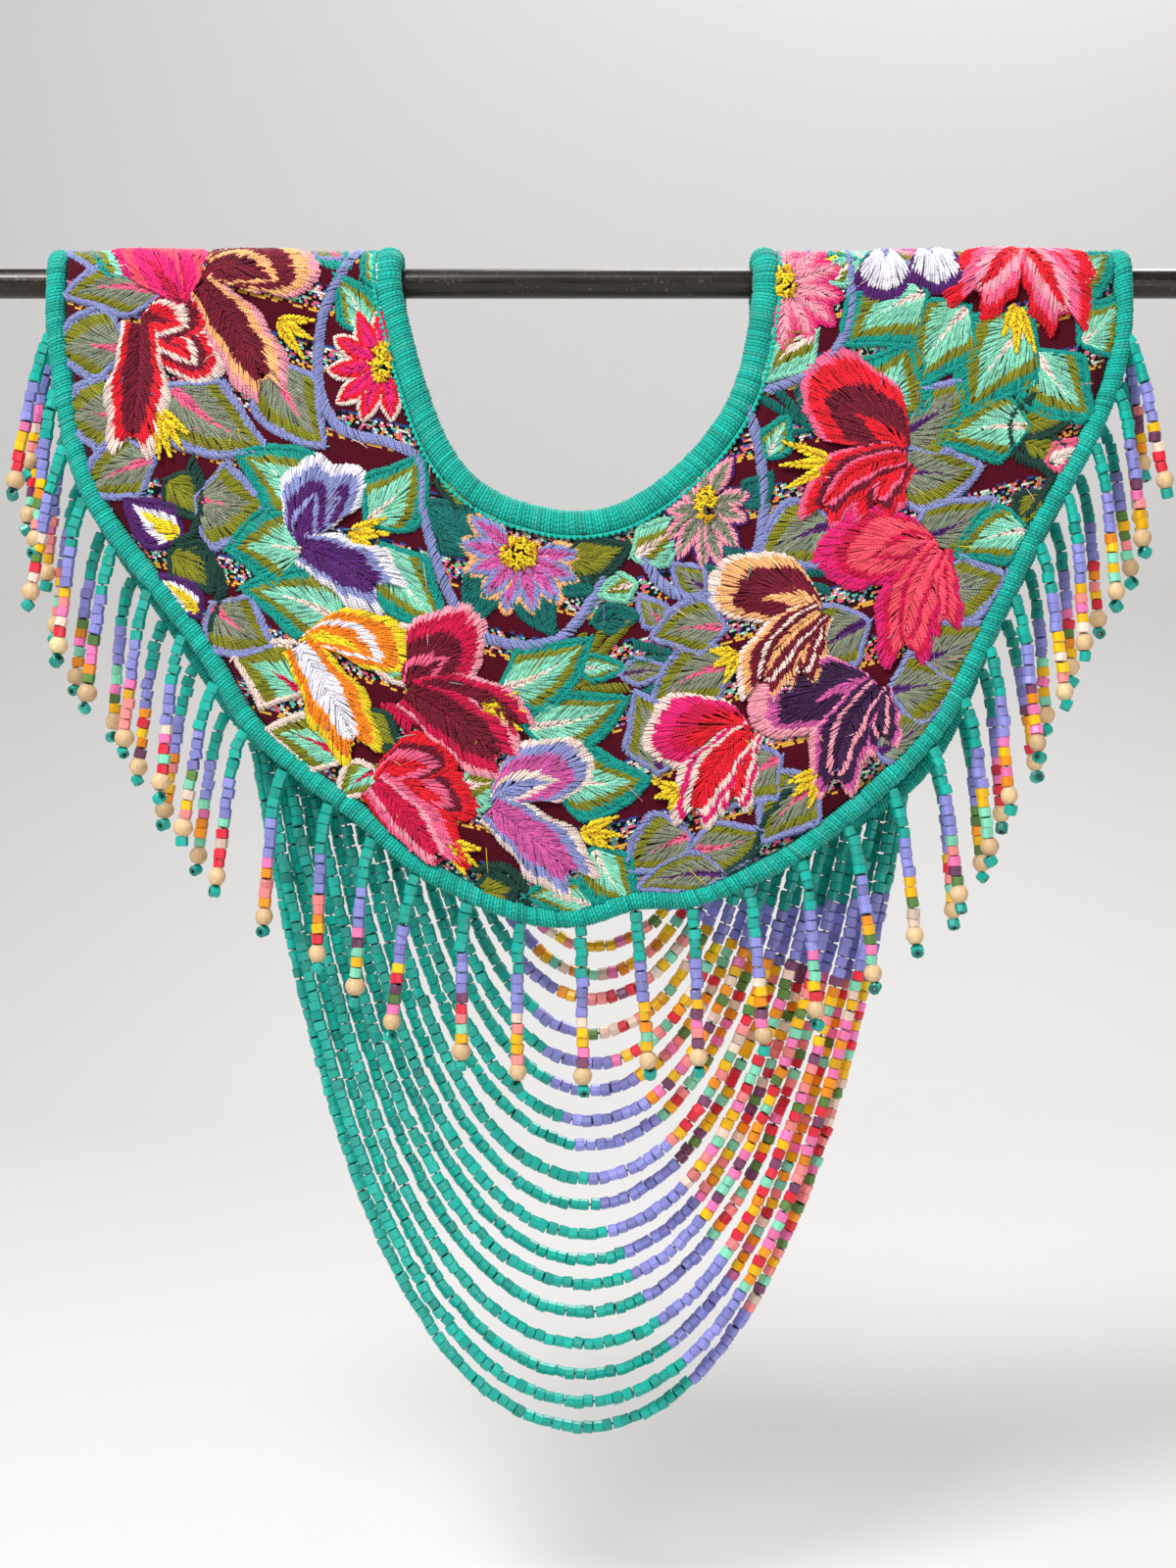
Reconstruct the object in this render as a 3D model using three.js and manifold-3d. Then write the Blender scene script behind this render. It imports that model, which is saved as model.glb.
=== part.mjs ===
// A beaded shoulder cape: an embroidered yoke with a U-shaped neck, folded over a round hanging rod.
// Thick wrapped rolls bind its neck and its outer edge, beaded fringe hangs from the outer roll, and
// nested loops of beads hang from the lower edge of the back.
//
// Millimetres, +Z up. The origin is the middle of the rod's axis, and the rod runs along X.
// The front of the cape faces -Y and its back faces +Y.
//
// Cloth places are written as (x, down): x across the cape, and down along the cloth from the level of
// the rod's axis. A height is measured outwards from the rolls' inner side, which rests at the rod.

import * as THREE from "three";
import Module from "manifold-3d";

const wasm = await Module();
wasm.setup();

// ---------------------------------------------------------------- driving sizes

const ROD_RADIUS = 6;
const ROD_LENGTH = 520;
const ROD_SIDES = 32;

const SEAM_GAP = 0.3; // between neighbouring pieces, and between the rolls and the rod
const FACET_ROOM = 0.2; // more along the outer roll, whose facets don't line up with the cloth's
const CLOTH_THICK = 3;
const CLOTH_LIFT = 2.3; // the cloth is sewn to the middle of the rolls, which hold it off the rod
const NECK_ROLL = { width: 11, thick: 8.4 };
const EDGE_ROLL = { width: 8.5, thick: 7.6 };
const ROLL_SIDES = 8;

const INNER_RADIUS = ROD_RADIUS + SEAM_GAP;
const QUARTER_BEND = ((INNER_RADIUS + CLOTH_LIFT + CLOTH_THICK / 2) * Math.PI) / 2; // crown to down = 0
const BEND_STEPS = 5;
const HANGING_STEPS = 44;
const CLOTH_ACROSS = 4; // strips between the neck and the outer edge
const SHOULDER_END = 6; // how far below the rod's axis the roll over the shoulder ends

const STRAND_HALF = 2.3; // half the side of a strand's square section, of about its beads' own area
const WOOD_HALF = 3.6; // and where its round wooden bead is

// Soft swells of the hanging cloth, away from the wearer.
const SWELL = { depth: 3.2, wave: 176, shift: 30, start: 10, full: 120 };

// The outer edge of the outer roll, from the left end of the fold round to the right end.
const FRONT_OUTLINE = [
  { x: -221, down: 0 },
  { x: -221, down: 20 },
  { x: -218, down: 43 },
  { x: -214, down: 68 },
  { x: -206, down: 90 },
  { x: -194, down: 109 },
  { x: -176, down: 132 },
  { x: -158, down: 156 },
  { x: -141, down: 184 },
  { x: -117, down: 206 },
  { x: -95, down: 222 },
  { x: -72, down: 242 },
  { x: -48, down: 255 },
  { x: -22, down: 264 },
  { x: 0, down: 264 },
  { x: 20, down: 258 },
  { x: 42, down: 257 },
  { x: 64, down: 249 },
  { x: 86, down: 238 },
  { x: 111, down: 219 },
  { x: 131, down: 201 },
  { x: 148, down: 181 },
  { x: 160, down: 158 },
  { x: 172, down: 134 },
  { x: 188, down: 101 },
  { x: 204, down: 74 },
  { x: 217, down: 45 },
  { x: 222, down: 20 },
  { x: 222, down: 0 },
];

// The back is cut a little wider low down, and shallower at its middle.
const BACK_OUTLINE = [
  { x: -221, down: 0 },
  { x: -222, down: 22 },
  { x: -220, down: 45 },
  { x: -216, down: 68 },
  { x: -209, down: 90 },
  { x: -198, down: 110 },
  { x: -181, down: 134 },
  { x: -164, down: 159 },
  { x: -146, down: 184 },
  { x: -122, down: 207 },
  { x: -98, down: 223 },
  { x: -72, down: 235 },
  { x: -44, down: 243 },
  { x: -12, down: 248 },
  { x: 20, down: 248 },
  { x: 50, down: 244 },
  { x: 78, down: 238 },
  { x: 104, down: 229 },
  { x: 128, down: 216 },
  { x: 146, down: 198 },
  { x: 158, down: 176 },
  { x: 168, down: 152 },
  { x: 180, down: 126 },
  { x: 193, down: 100 },
  { x: 207, down: 74 },
  { x: 219, down: 47 },
  { x: 223, down: 22 },
  { x: 222, down: 0 },
];

// The neck hole's edge, from the left end of the fold round to the right end.
const NECK_OUTLINE = [
  { x: -76, down: 0 },
  { x: -72, down: 20 },
  { x: -66, down: 42 },
  { x: -58, down: 64 },
  { x: -48, down: 79 },
  { x: -35, down: 88 },
  { x: -20, down: 93 },
  { x: -6, down: 95 },
  { x: 9, down: 93 },
  { x: 23, down: 86 },
  { x: 38, down: 74 },
  { x: 51, down: 59 },
  { x: 60, down: 42 },
  { x: 65, down: 20 },
  { x: 67, down: 0 },
];
const BACK_NECK = { wider: 0.06, deeper: 0.04, full: 40 };

// Fringe strands, at even steps along the outer roll.
const FRINGE = {
  length: 73,
  pitch: 23.4,
  startAngle: 40, // the most that a strand's root may point away from straight down, in degrees
  settle: 9, // the length over which a strand turns down
  lean: 8, // how far strands on the upright sides lean outwards, in degrees
  stray: 3.5, // the unevenness of that lean, in degrees
};
const FRONT_FIRST = 20; // from the rod's level to the front's first strand
const BACK_FIRST = 9;
const BOTTOM_LEFT_ROOT = 3; // from the front's lowest point to the strands on its two sides
const BOTTOM_RIGHT_ROOT = 20;

// The sections of a fringe strand, by their distance from its root.
const STRAND_CUTS = [
  { at: 0, half: STRAND_HALF },
  { at: 7, half: STRAND_HALF },
  { at: 16, half: STRAND_HALF },
  { at: 36, half: STRAND_HALF },
  { at: 61.5, half: STRAND_HALF },
  { at: 65, half: WOOD_HALF },
  { at: 68.6, half: STRAND_HALF },
  { at: FRINGE.length, half: STRAND_HALF },
];

// Bead loops on the back's lower edge: how far each one's roots stand along the edge from its middle,
// and the depth of its lowest bead below the rod.
const LOOP_MIDDLE = 4;
const LOOP_LAYERS = [1.5, 7]; // heights of the two layers in which the loops lie by turns
const LOOP_STEPS = 22;
const LOOPS = [
  { left: 42, right: 40, depth: 274 },
  { left: 49, right: 46, depth: 286 },
  { left: 56, right: 52, depth: 296 },
  { left: 63, right: 57, depth: 311 },
  { left: 70, right: 63, depth: 323 },
  { left: 77, right: 69, depth: 335 },
  { left: 84, right: 74, depth: 347 },
  { left: 91, right: 80, depth: 358 },
  { left: 98, right: 86, depth: 371 },
  { left: 105, right: 91, depth: 383 },
  { left: 112, right: 97, depth: 394 },
  { left: 119, right: 103, depth: 406 },
  { left: 126, right: 108, depth: 415 },
  { left: 133, right: 114, depth: 428 },
  { left: 140, right: 120, depth: 440 },
  { left: 147, right: 125, depth: 454 },
  { left: 154, right: 131, depth: 464 },
  { left: 161, right: 137, depth: 476 },
];
const LOOP_ROOM = 7; // from the outermost loop to the end of the length of roll that holds the loops

const COLOURS = {
  rod: { color: 0x2a241f, roughness: 0.45, metalness: 0.8 },
  cloth: { color: 0x7a1f3c, roughness: 0.9, metalness: 0 },
  roll: { color: 0x1f9a80, roughness: 0.85, metalness: 0 },
  fringe: { color: 0x2a9479, roughness: 0.6, metalness: 0 },
  loops: { color: 0x35a489, roughness: 0.6, metalness: 0 },
};

// ---------------------------------------------------------------- lines on the cloth

const mix = (a, b, share) => a + (b - a) * share;
const smoothStep = (t) => THREE.MathUtils.smoothstep(t, 0, 1);

/** A line on the cloth: points of (x, down) with outward normals, read by the distance along it. */
class ClothLine {
  constructor(points) {
    this.points = points;
    this.reach = [0];
    for (let i = 1; i < points.length; i++) {
      this.reach.push(this.reach[i - 1] + points[i].distanceTo(points[i - 1]));
    }
  }

  get length() {
    return this.reach[this.reach.length - 1];
  }

  /** The point and outward normal at a distance along the line; its two ends are upright. */
  at(distance) {
    const wanted = THREE.MathUtils.clamp(distance, 0, this.length);
    const i = Math.max(1, this.reach.findIndex((reached) => reached >= wanted));
    const share = (wanted - this.reach[i - 1]) / (this.reach[i] - this.reach[i - 1]);
    const point = this.points[i - 1].clone().lerp(this.points[i], share);
    const along = this.points[i].clone().sub(this.points[i - 1]).normalize();
    if (wanted === 0) along.set(0, 1);
    if (wanted === this.length) along.set(0, -1);
    return { point, normal: new THREE.Vector2(-along.y, along.x) };
  }

  /** The distance along the line to its lower stretch's point at a given x. */
  distanceUnder(x) {
    const lowest = Math.max(...this.points.map((point) => point.y));
    let best = 0;
    this.points.forEach((point, i) => {
      const low = point.y > lowest / 2;
      if (low && Math.abs(point.x - x) < Math.abs(this.points[best].x - x)) best = i;
    });
    return this.reach[best];
  }

  /** The same line moved outwards; its two ends move level. */
  moved(distance) {
    const last = this.points.length - 1;
    return new ClothLine(
      this.points.map((point, i) => {
        const before = this.points[Math.max(0, i - 1)];
        const after = this.points[Math.min(last, i + 1)];
        const along = after.clone().sub(before).normalize();
        if (i === 0) along.set(0, 1);
        if (i === last) along.set(0, -1);
        return new THREE.Vector2(point.x - along.y * distance, point.y + along.x * distance);
      }),
    );
  }
}

/** A smooth line through rows of (x, down) that meets the rod's level upright at both ends. */
function clothLine(rows) {
  const FINE = 300;
  const mirrored = (row) => new THREE.Vector2(row.x, -row.down);
  const curve = new THREE.SplineCurve([
    mirrored(rows[1]),
    ...rows.map((row) => new THREE.Vector2(row.x, row.down)),
    mirrored(rows[rows.length - 2]),
  ]);
  const spans = curve.points.length - 1;
  const shares = Array.from({ length: FINE + 1 }, (_, i) => mix(1, spans - 1, i / FINE) / spans);
  return new ClothLine(shares.map((share) => curve.getPoint(share)));
}

/** The neck rows of the back: as the front's at the rod, and a little wider and deeper below it. */
function backNeckRows() {
  return NECK_OUTLINE.map(({ x, down }) => {
    const share = smoothStep(down / BACK_NECK.full);
    return { x: x * (1 + BACK_NECK.wider * share), down: down * (1 + BACK_NECK.deeper * share) };
  });
}

// ---------------------------------------------------------------- the draped surface

/** How far the hanging cloth swells outwards. */
function swell(x, down) {
  const grown = smoothStep((down - SWELL.start) / (SWELL.full - SWELL.start));
  const wave = 0.5 - 0.5 * Math.cos((2 * Math.PI * (x - SWELL.shift)) / SWELL.wave);
  return SWELL.depth * grown * wave;
}

/** A place on the draped cloth. side is -1 for the front and +1 for the back; down below 0 is on the bend. */
function place(side, x, down, height) {
  if (down >= 0) {
    return new THREE.Vector3(x, side * (INNER_RADIUS + height + swell(x, down)), -down);
  }
  const angle = (Math.PI / 2) * (1 + down / QUARTER_BEND); // 0 at the crown
  const radius = INNER_RADIUS + height;
  return new THREE.Vector3(x, side * radius * Math.sin(angle), radius * Math.cos(angle));
}

/** Stations of one bend over the rod, from crownGap off the crown to just above the rod's level. */
function bendStations({ point, normal }, crownGap) {
  return Array.from({ length: BEND_STEPS }, (_, i) => {
    const down = -mix(QUARTER_BEND - crownGap, 0, i / BEND_STEPS);
    return { point: new THREE.Vector2(point.x, down), normal };
  });
}

/** Even stations along a cloth line between two distances. */
function hangingStations(line, from, to) {
  const steps = Math.max(2, Math.round((HANGING_STEPS * Math.abs(to - from)) / line.length));
  return Array.from({ length: steps + 1 }, (_, i) => line.at(mix(from, to, i / steps)));
}

/** Stations along a whole half of the cape, from the left crown to the right crown. */
function halfStations(line, crownGap) {
  const hanging = hangingStations(line, 0, line.length);
  return [
    ...bendStations(hanging[0], crownGap),
    ...hanging,
    ...bendStations(hanging[hanging.length - 1], crownGap).reverse(),
  ];
}

// ---------------------------------------------------------------- solids

/** A closed solid through rings with the same even number of points; a round one has no ends. */
function loft(rings, round = false) {
  const size = rings[0].length;
  const triangles = [];
  const spans = round ? rings.length : rings.length - 1;
  for (let i = 0; i < spans; i++) {
    const here = i * size;
    const next = ((i + 1) % rings.length) * size;
    for (let j = 0; j < size; j++) {
      const k = (j + 1) % size;
      triangles.push(here + j, next + j, next + k, here + j, next + k, here + k);
    }
  }
  const end = (start, turned) => {
    for (let j = 0; j < size / 2 - 1; j++) {
      const quad = [start + j, start + j + 1, start + size - 2 - j, start + size - 1 - j];
      if (turned) quad.reverse();
      triangles.push(quad[0], quad[1], quad[2], quad[0], quad[2], quad[3]);
    }
  };
  if (!round) {
    end(0, false);
    end((rings.length - 1) * size, true);
  }
  const corners = rings.flat();
  let volume = 0;
  for (let i = 0; i < triangles.length; i += 3) {
    const [a, b, c] = [0, 1, 2].map((j) => corners[triangles[i + j]]);
    volume += a.dot(b.clone().cross(c));
  }
  if (volume < 0) triangles.reverse();
  return new wasm.Manifold(
    new wasm.Mesh({
      numProp: 3,
      vertProperties: new Float32Array(corners.flatMap((p) => [p.x, p.y, p.z])),
      triVerts: new Uint32Array(triangles),
    }),
  );
}

/** A named mesh from solids that are joined. */
function meshOf(name, solids, colour) {
  const joined = solids.reduce((whole, solid) => whole.add(solid));
  const { vertProperties, triVerts } = joined.getMesh();
  const geometry = new THREE.BufferGeometry();
  geometry.setAttribute("position", new THREE.BufferAttribute(vertProperties, 3));
  geometry.setIndex(new THREE.BufferAttribute(triVerts, 1));
  geometry.computeVertexNormals();
  const mesh = new THREE.Mesh(geometry, new THREE.MeshStandardMaterial(colour));
  mesh.name = name;
  return mesh;
}

/** One ring of a roll: an oval across the line. */
function rollRing(side, { point, normal }, roll) {
  return Array.from({ length: ROLL_SIDES }, (_, i) => {
    const turn = (2 * Math.PI * i) / ROLL_SIDES;
    const across = (roll.width / 2) * Math.cos(turn);
    const height = (roll.thick / 2) * (1 + Math.sin(turn));
    return place(side, point.x + normal.x * across, point.y + normal.y * across, height);
  });
}

/** Half of the yoke's cloth: a wall between the neck roll and the outer roll. */
function yoke(side, neckEdge, outerEdge) {
  const inner = halfStations(neckEdge, SEAM_GAP / 2);
  const outer = halfStations(outerEdge, SEAM_GAP / 2);
  const rings = inner.map((station, i) => {
    const row = Array.from({ length: CLOTH_ACROSS + 1 }, (_, j) =>
      station.point.clone().lerp(outer[i].point, j / CLOTH_ACROSS),
    );
    const outside = row.map((p) => place(side, p.x, p.y, CLOTH_LIFT + CLOTH_THICK));
    const inside = row.map((p) => place(side, p.x, p.y, CLOTH_LIFT));
    return [...outside, ...inside.reverse()];
  });
  return loft(rings);
}

/** The roll round the neck, in one closed ring. */
function neckRoll(frontLine, backLine) {
  const front = halfStations(frontLine, 0).map((s) => rollRing(-1, s, NECK_ROLL));
  const back = halfStations(backLine, 0).map((s) => rollRing(1, s, NECK_ROLL));
  return loft([...front, ...back.reverse().slice(1, -1)], true);
}

/** A length of the outer roll between two distances along one half's line. */
function edgeRoll(side, line, from, to) {
  return loft(hangingStations(line, from, to).map((s) => rollRing(side, s, EDGE_ROLL)));
}

/** The outer roll over one shoulder, from the front across the rod to the back. */
function shoulderRoll(frontLine, backLine, onLeft) {
  const half = (side, line) => {
    const level = onLeft ? 0 : line.length;
    const end = onLeft ? SHOULDER_END : line.length - SHOULDER_END;
    const stations = [...bendStations(line.at(level), 0), ...hangingStations(line, level, end)];
    return stations.map((s) => rollRing(side, s, EDGE_ROLL));
  };
  return loft([...half(-1, frontLine).reverse(), ...half(1, backLine).slice(1)]);
}

/** An uneven number from -1 to 1 that is the same for the same index. */
function uneven(index) {
  const wave = Math.sin(index * 12.9898) * 43758.5453;
  return 2 * (wave - Math.floor(wave)) - 1;
}

/** The points of a fringe strand's middle line at its cuts. */
function fringePath(root, normal, index) {
  const STEP = 0.5;
  const limit = THREE.MathUtils.degToRad(FRINGE.startAngle);
  const start = THREE.MathUtils.clamp(Math.atan2(normal.x, normal.y), -limit, limit);
  const lean = THREE.MathUtils.degToRad(FRINGE.lean * normal.x + FRINGE.stray * uneven(index));
  const here = root.clone();
  let walked = 0;
  return STRAND_CUTS.map((cut) => {
    for (; walked < cut.at; walked += STEP) {
      const angle = lean + (start - lean) * Math.exp(-walked / FRINGE.settle);
      here.x += STEP * Math.sin(angle);
      here.z -= STEP * Math.cos(angle);
    }
    return here.clone();
  });
}

/** A square-sectioned strand along points that lie nearly in a plane of constant y. */
function strand(path, halves) {
  const rings = path.map((point, i) => {
    const before = path[Math.max(0, i - 1)];
    const after = path[Math.min(path.length - 1, i + 1)];
    const along = after.clone().sub(before).normalize();
    const across = new THREE.Vector3(-along.z, 0, along.x).multiplyScalar(halves[i]);
    const through = new THREE.Vector3(0, halves[i], 0);
    return [
      point.clone().sub(across).sub(through),
      point.clone().add(across).sub(through),
      point.clone().add(across).add(through),
      point.clone().sub(across).add(through),
    ];
  });
  return loft(rings);
}

/** Fringe strands rooted in the outer roll, at the given distances along its line. */
function fringeStrands(side, line, distances, firstIndex) {
  return distances.map((distance, i) => {
    const { point, normal } = line.at(distance);
    const root = place(side, point.x, point.y, EDGE_ROLL.thick / 2);
    return strand(fringePath(root, normal, firstIndex + i), STRAND_CUTS.map((cut) => cut.half));
  });
}

/** The size of the hanging chain of a given span whose ends rise by given heights from its lowest point. */
function chainScale(span, leftRise, rightRise) {
  const HALVINGS = 60;
  let low = 1;
  let high = 2000;
  for (let i = 0; i < HALVINGS; i++) {
    const scale = (low + high) / 2;
    const reach = scale * (Math.acosh(1 + leftRise / scale) + Math.acosh(1 + rightRise / scale));
    if (reach < span) low = scale;
    else high = scale;
  }
  return (low + high) / 2;
}

/** The middle line of a bead loop that hangs as a chain between two roots. */
function loopPath(left, right, lowest) {
  const scale = chainScale(right.x - left.x, left.z - lowest, right.z - lowest);
  const bottom = left.x + scale * Math.acosh(1 + (left.z - lowest) / scale);
  const from = Math.sinh((left.x - bottom) / scale);
  const to = Math.sinh((right.x - bottom) / scale);
  return Array.from({ length: LOOP_STEPS + 1 }, (_, i) => {
    const share = i / LOOP_STEPS;
    const turn = Math.asinh(mix(from, to, share));
    const z = lowest + scale * (Math.cosh(turn) - 1);
    return new THREE.Vector3(bottom + scale * turn, mix(left.y, right.y, share), z);
  });
}

/** Bead loops rooted in the back's outer roll. */
function loopStrands(line, middle) {
  return LOOPS.map((loop, i) => {
    const [left, right] = [middle - loop.left, middle + loop.right].map((distance) => {
      const { point } = line.at(distance);
      return place(1, point.x, point.y, LOOP_LAYERS[i % LOOP_LAYERS.length]);
    });
    const path = loopPath(left, right, -loop.depth);
    return strand(path, path.map(() => STRAND_HALF));
  });
}

/** Even distances between two ends, at about the fringe's pitch. */
function rootsBetween(from, to) {
  const count = Math.round((to - from) / FRINGE.pitch);
  return Array.from({ length: count + 1 }, (_, i) => mix(from, to, i / count));
}

// ---------------------------------------------------------------- the cape

const frontOuter = clothLine(FRONT_OUTLINE);
const backOuter = clothLine(BACK_OUTLINE);
const frontNeck = clothLine(NECK_OUTLINE);
const backNeck = clothLine(backNeckRows());

const frontEdge = frontOuter.moved(-EDGE_ROLL.width / 2);
const backEdge = backOuter.moved(-EDGE_ROLL.width / 2);
const clothIn = -(EDGE_ROLL.width + SEAM_GAP + FACET_ROOM);
const clothOut = NECK_ROLL.width + SEAM_GAP;
const halfSeam = SEAM_GAP / 2;
const fringeTop = SHOULDER_END + SEAM_GAP;

/** The hanging rod, a plain bar along X. */
function rod() {
  const geometry = new THREE.CylinderGeometry(ROD_RADIUS, ROD_RADIUS, ROD_LENGTH, ROD_SIDES);
  const mesh = new THREE.Mesh(geometry, new THREE.MeshStandardMaterial(COLOURS.rod));
  mesh.rotation.z = Math.PI / 2;
  mesh.name = "rod";
  return mesh;
}

/** The front's outer roll and fringe, in a left and a right length that meet at the bottom. */
function frontFringe() {
  const line = frontEdge;
  const middle = line.distanceUnder(0);
  const end = line.length;
  const left = rootsBetween(FRONT_FIRST, middle - BOTTOM_LEFT_ROOT);
  const right = rootsBetween(middle + BOTTOM_RIGHT_ROOT, end - FRONT_FIRST);
  const leftRoll = edgeRoll(-1, line, fringeTop, middle - halfSeam);
  const rightRoll = edgeRoll(-1, line, middle + halfSeam, end - fringeTop);
  return [
    meshOf("front_fringe_left", [leftRoll, ...fringeStrands(-1, line, left, 0)], COLOURS.fringe),
    meshOf("front_fringe_right", [rightRoll, ...fringeStrands(-1, line, right, left.length)], COLOURS.fringe),
  ];
}

/** The back's outer roll: fringe down both sides, and the bead loops along the bottom between them. */
function backFringe() {
  const line = backEdge;
  const end = line.length;
  const middle = line.distanceUnder(LOOP_MIDDLE);
  const widest = LOOPS[LOOPS.length - 1];
  const from = middle - widest.left - LOOP_ROOM;
  const to = middle + widest.right + LOOP_ROOM;
  const left = rootsBetween(BACK_FIRST, from - LOOP_ROOM);
  const right = rootsBetween(to + LOOP_ROOM, end - BACK_FIRST);
  const leftRoll = edgeRoll(1, line, fringeTop, from - halfSeam);
  const rightRoll = edgeRoll(1, line, to + halfSeam, end - fringeTop);
  const loopRoll = edgeRoll(1, line, from + halfSeam, to - halfSeam);
  const SECOND_SET = 50; // where the back's strands start in the run of uneven numbers
  const rightSet = SECOND_SET + left.length;
  return [
    meshOf("back_fringe_left", [leftRoll, ...fringeStrands(1, line, left, SECOND_SET)], COLOURS.fringe),
    meshOf("back_fringe_right", [rightRoll, ...fringeStrands(1, line, right, rightSet)], COLOURS.fringe),
    meshOf("back_bead_loops", [loopRoll, ...loopStrands(line, middle)], COLOURS.loops),
  ];
}

const frontYoke = yoke(-1, frontNeck.moved(clothOut), frontOuter.moved(clothIn));
const backYoke = yoke(1, backNeck.moved(clothOut), backOuter.moved(clothIn));
const neck = neckRoll(frontNeck.moved(NECK_ROLL.width / 2), backNeck.moved(NECK_ROLL.width / 2));

const group = new THREE.Group();
group.add(
  rod(),
  meshOf("front_yoke", [frontYoke], COLOURS.cloth),
  meshOf("back_yoke", [backYoke], COLOURS.cloth),
  meshOf("neck_roll", [neck], COLOURS.roll),
  meshOf("shoulder_roll_left", [shoulderRoll(frontEdge, backEdge, true)], COLOURS.roll),
  meshOf("shoulder_roll_right", [shoulderRoll(frontEdge, backEdge, false)], COLOURS.roll),
  ...frontFringe(),
  ...backFringe(),
);

export default group;
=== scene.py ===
"""The looks of a beaded shoulder cape that hangs folded over a rod.

The cape is one ring-shaped, embroidered cloth with a U-shaped neck. Thick wrapped rolls bind its neck and
its outer edge, strands of beads hang from the outer roll, and nested loops of beads hang from the lower
edge of the back.

Places on the cloth are written as (x, v) in millimetres on the cloth laid out flat. x runs across the cape.
v runs down the front from the level of the rod's axis, and below zero it runs over the rod's bend and then
down the back. Heights are millimetres outwards from the rolls' inner side. Meshes are in metres, with +Z up
and the front of the cape facing -Y.
"""

import logging
import math
from dataclasses import dataclass, field
from enum import Enum
from typing import Iterable, Sequence

import bpy
import numpy as np
from bpy.types import Material, Node, NodeSocket, Object
from numpy.typing import NDArray
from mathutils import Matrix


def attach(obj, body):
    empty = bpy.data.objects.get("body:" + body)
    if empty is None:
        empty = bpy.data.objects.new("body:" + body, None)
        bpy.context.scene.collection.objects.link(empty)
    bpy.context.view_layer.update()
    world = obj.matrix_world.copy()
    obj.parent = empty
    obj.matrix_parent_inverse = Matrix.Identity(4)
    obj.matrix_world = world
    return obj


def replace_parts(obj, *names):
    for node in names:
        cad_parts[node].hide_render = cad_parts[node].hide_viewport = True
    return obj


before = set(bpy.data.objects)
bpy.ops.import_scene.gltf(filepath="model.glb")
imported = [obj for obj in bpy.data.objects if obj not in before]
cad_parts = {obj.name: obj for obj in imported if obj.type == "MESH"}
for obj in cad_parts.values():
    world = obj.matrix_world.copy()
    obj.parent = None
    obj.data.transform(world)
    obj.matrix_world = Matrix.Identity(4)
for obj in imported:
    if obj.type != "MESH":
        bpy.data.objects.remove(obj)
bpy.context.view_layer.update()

log = logging.getLogger("cape")

Array = NDArray[np.float64]
Faces = NDArray[np.int64]
Spot = tuple[float, float]
Rows = tuple[Spot, ...]
Colour = tuple[float, float, float]

MM = 0.001
TINY = 1e-9
SEED = 41
ROD_RADIUS = 6.0
SEAM_GAP = 0.3
FACET_ROOM = 0.2
CLOTH_THICK = 3.0
CLOTH_LIFT = 2.3
CLOTH_FACE = CLOTH_LIFT + CLOTH_THICK

# The outer edge of the outer roll, from the left end of the fold round to the right end.
FRONT_OUTLINE: Rows = (
    (-221, 0), (-221, 20), (-218, 43), (-214, 68), (-206, 90), (-194, 109), (-176, 132), (-158, 156),
    (-141, 184), (-117, 206), (-95, 222), (-72, 242), (-48, 255), (-22, 264), (0, 264), (20, 258),
    (42, 257), (64, 249), (86, 238), (111, 219), (131, 201), (148, 181), (160, 158), (172, 134),
    (188, 101), (204, 74), (217, 45), (222, 20), (222, 0),
)
BACK_OUTLINE: Rows = (
    (-221, 0), (-222, 22), (-220, 45), (-216, 68), (-209, 90), (-198, 110), (-181, 134), (-164, 159),
    (-146, 184), (-122, 207), (-98, 223), (-72, 235), (-44, 243), (-12, 248), (20, 248), (50, 244),
    (78, 238), (104, 229), (128, 216), (146, 198), (158, 176), (168, 152), (180, 126), (193, 100),
    (207, 74), (219, 47), (223, 22), (222, 0),
)
# The neck hole's edge, from the left end of the fold round to the right end.
NECK_OUTLINE: Rows = (
    (-76, 0), (-72, 20), (-66, 42), (-58, 64), (-48, 79), (-35, 88), (-20, 93), (-6, 95), (9, 93),
    (23, 86), (38, 74), (51, 59), (60, 42), (65, 20), (67, 0),
)


# ---- colours


def linear(red: float, green: float, blue: float) -> Colour:
    """A display colour of 0 to 255 as linear light."""
    parts = (part / 255 for part in (red, green, blue))
    return tuple(p / 12.92 if p <= 0.04045 else ((p + 0.055) / 1.055) ** 2.4 for p in parts)


class Dye(Enum):
    """Colours of the embroidery threads and the wrapping yarn."""

    YARN_TEAL = linear(6, 180, 162)
    TEAL = linear(0, 150, 136)
    DEEP_TEAL = linear(0, 105, 98)
    MINT = linear(134, 212, 182)
    OLIVE = linear(128, 128, 22)
    GREY_GREEN = linear(132, 138, 116)
    DARK_GREEN = linear(18, 62, 52)
    LAVENDER = linear(138, 145, 198)
    LILAC = linear(204, 86, 158)
    PURPLE = linear(82, 26, 104)
    PLUM = linear(58, 20, 66)
    BURGUNDY = linear(112, 2, 36)
    CRIMSON = linear(206, 4, 68)
    RED = linear(228, 14, 38)
    CORAL = linear(250, 78, 100)
    MAGENTA = linear(228, 26, 112)
    ROSE = linear(240, 98, 138)
    PINK = linear(244, 156, 172)
    PEACH = linear(248, 178, 116)
    CREAM = linear(242, 216, 204)
    ORANGE = linear(248, 134, 18)
    YELLOW = linear(246, 214, 34)
    GOLD = linear(206, 156, 18)
    WHITE = linear(232, 228, 238)


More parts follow.
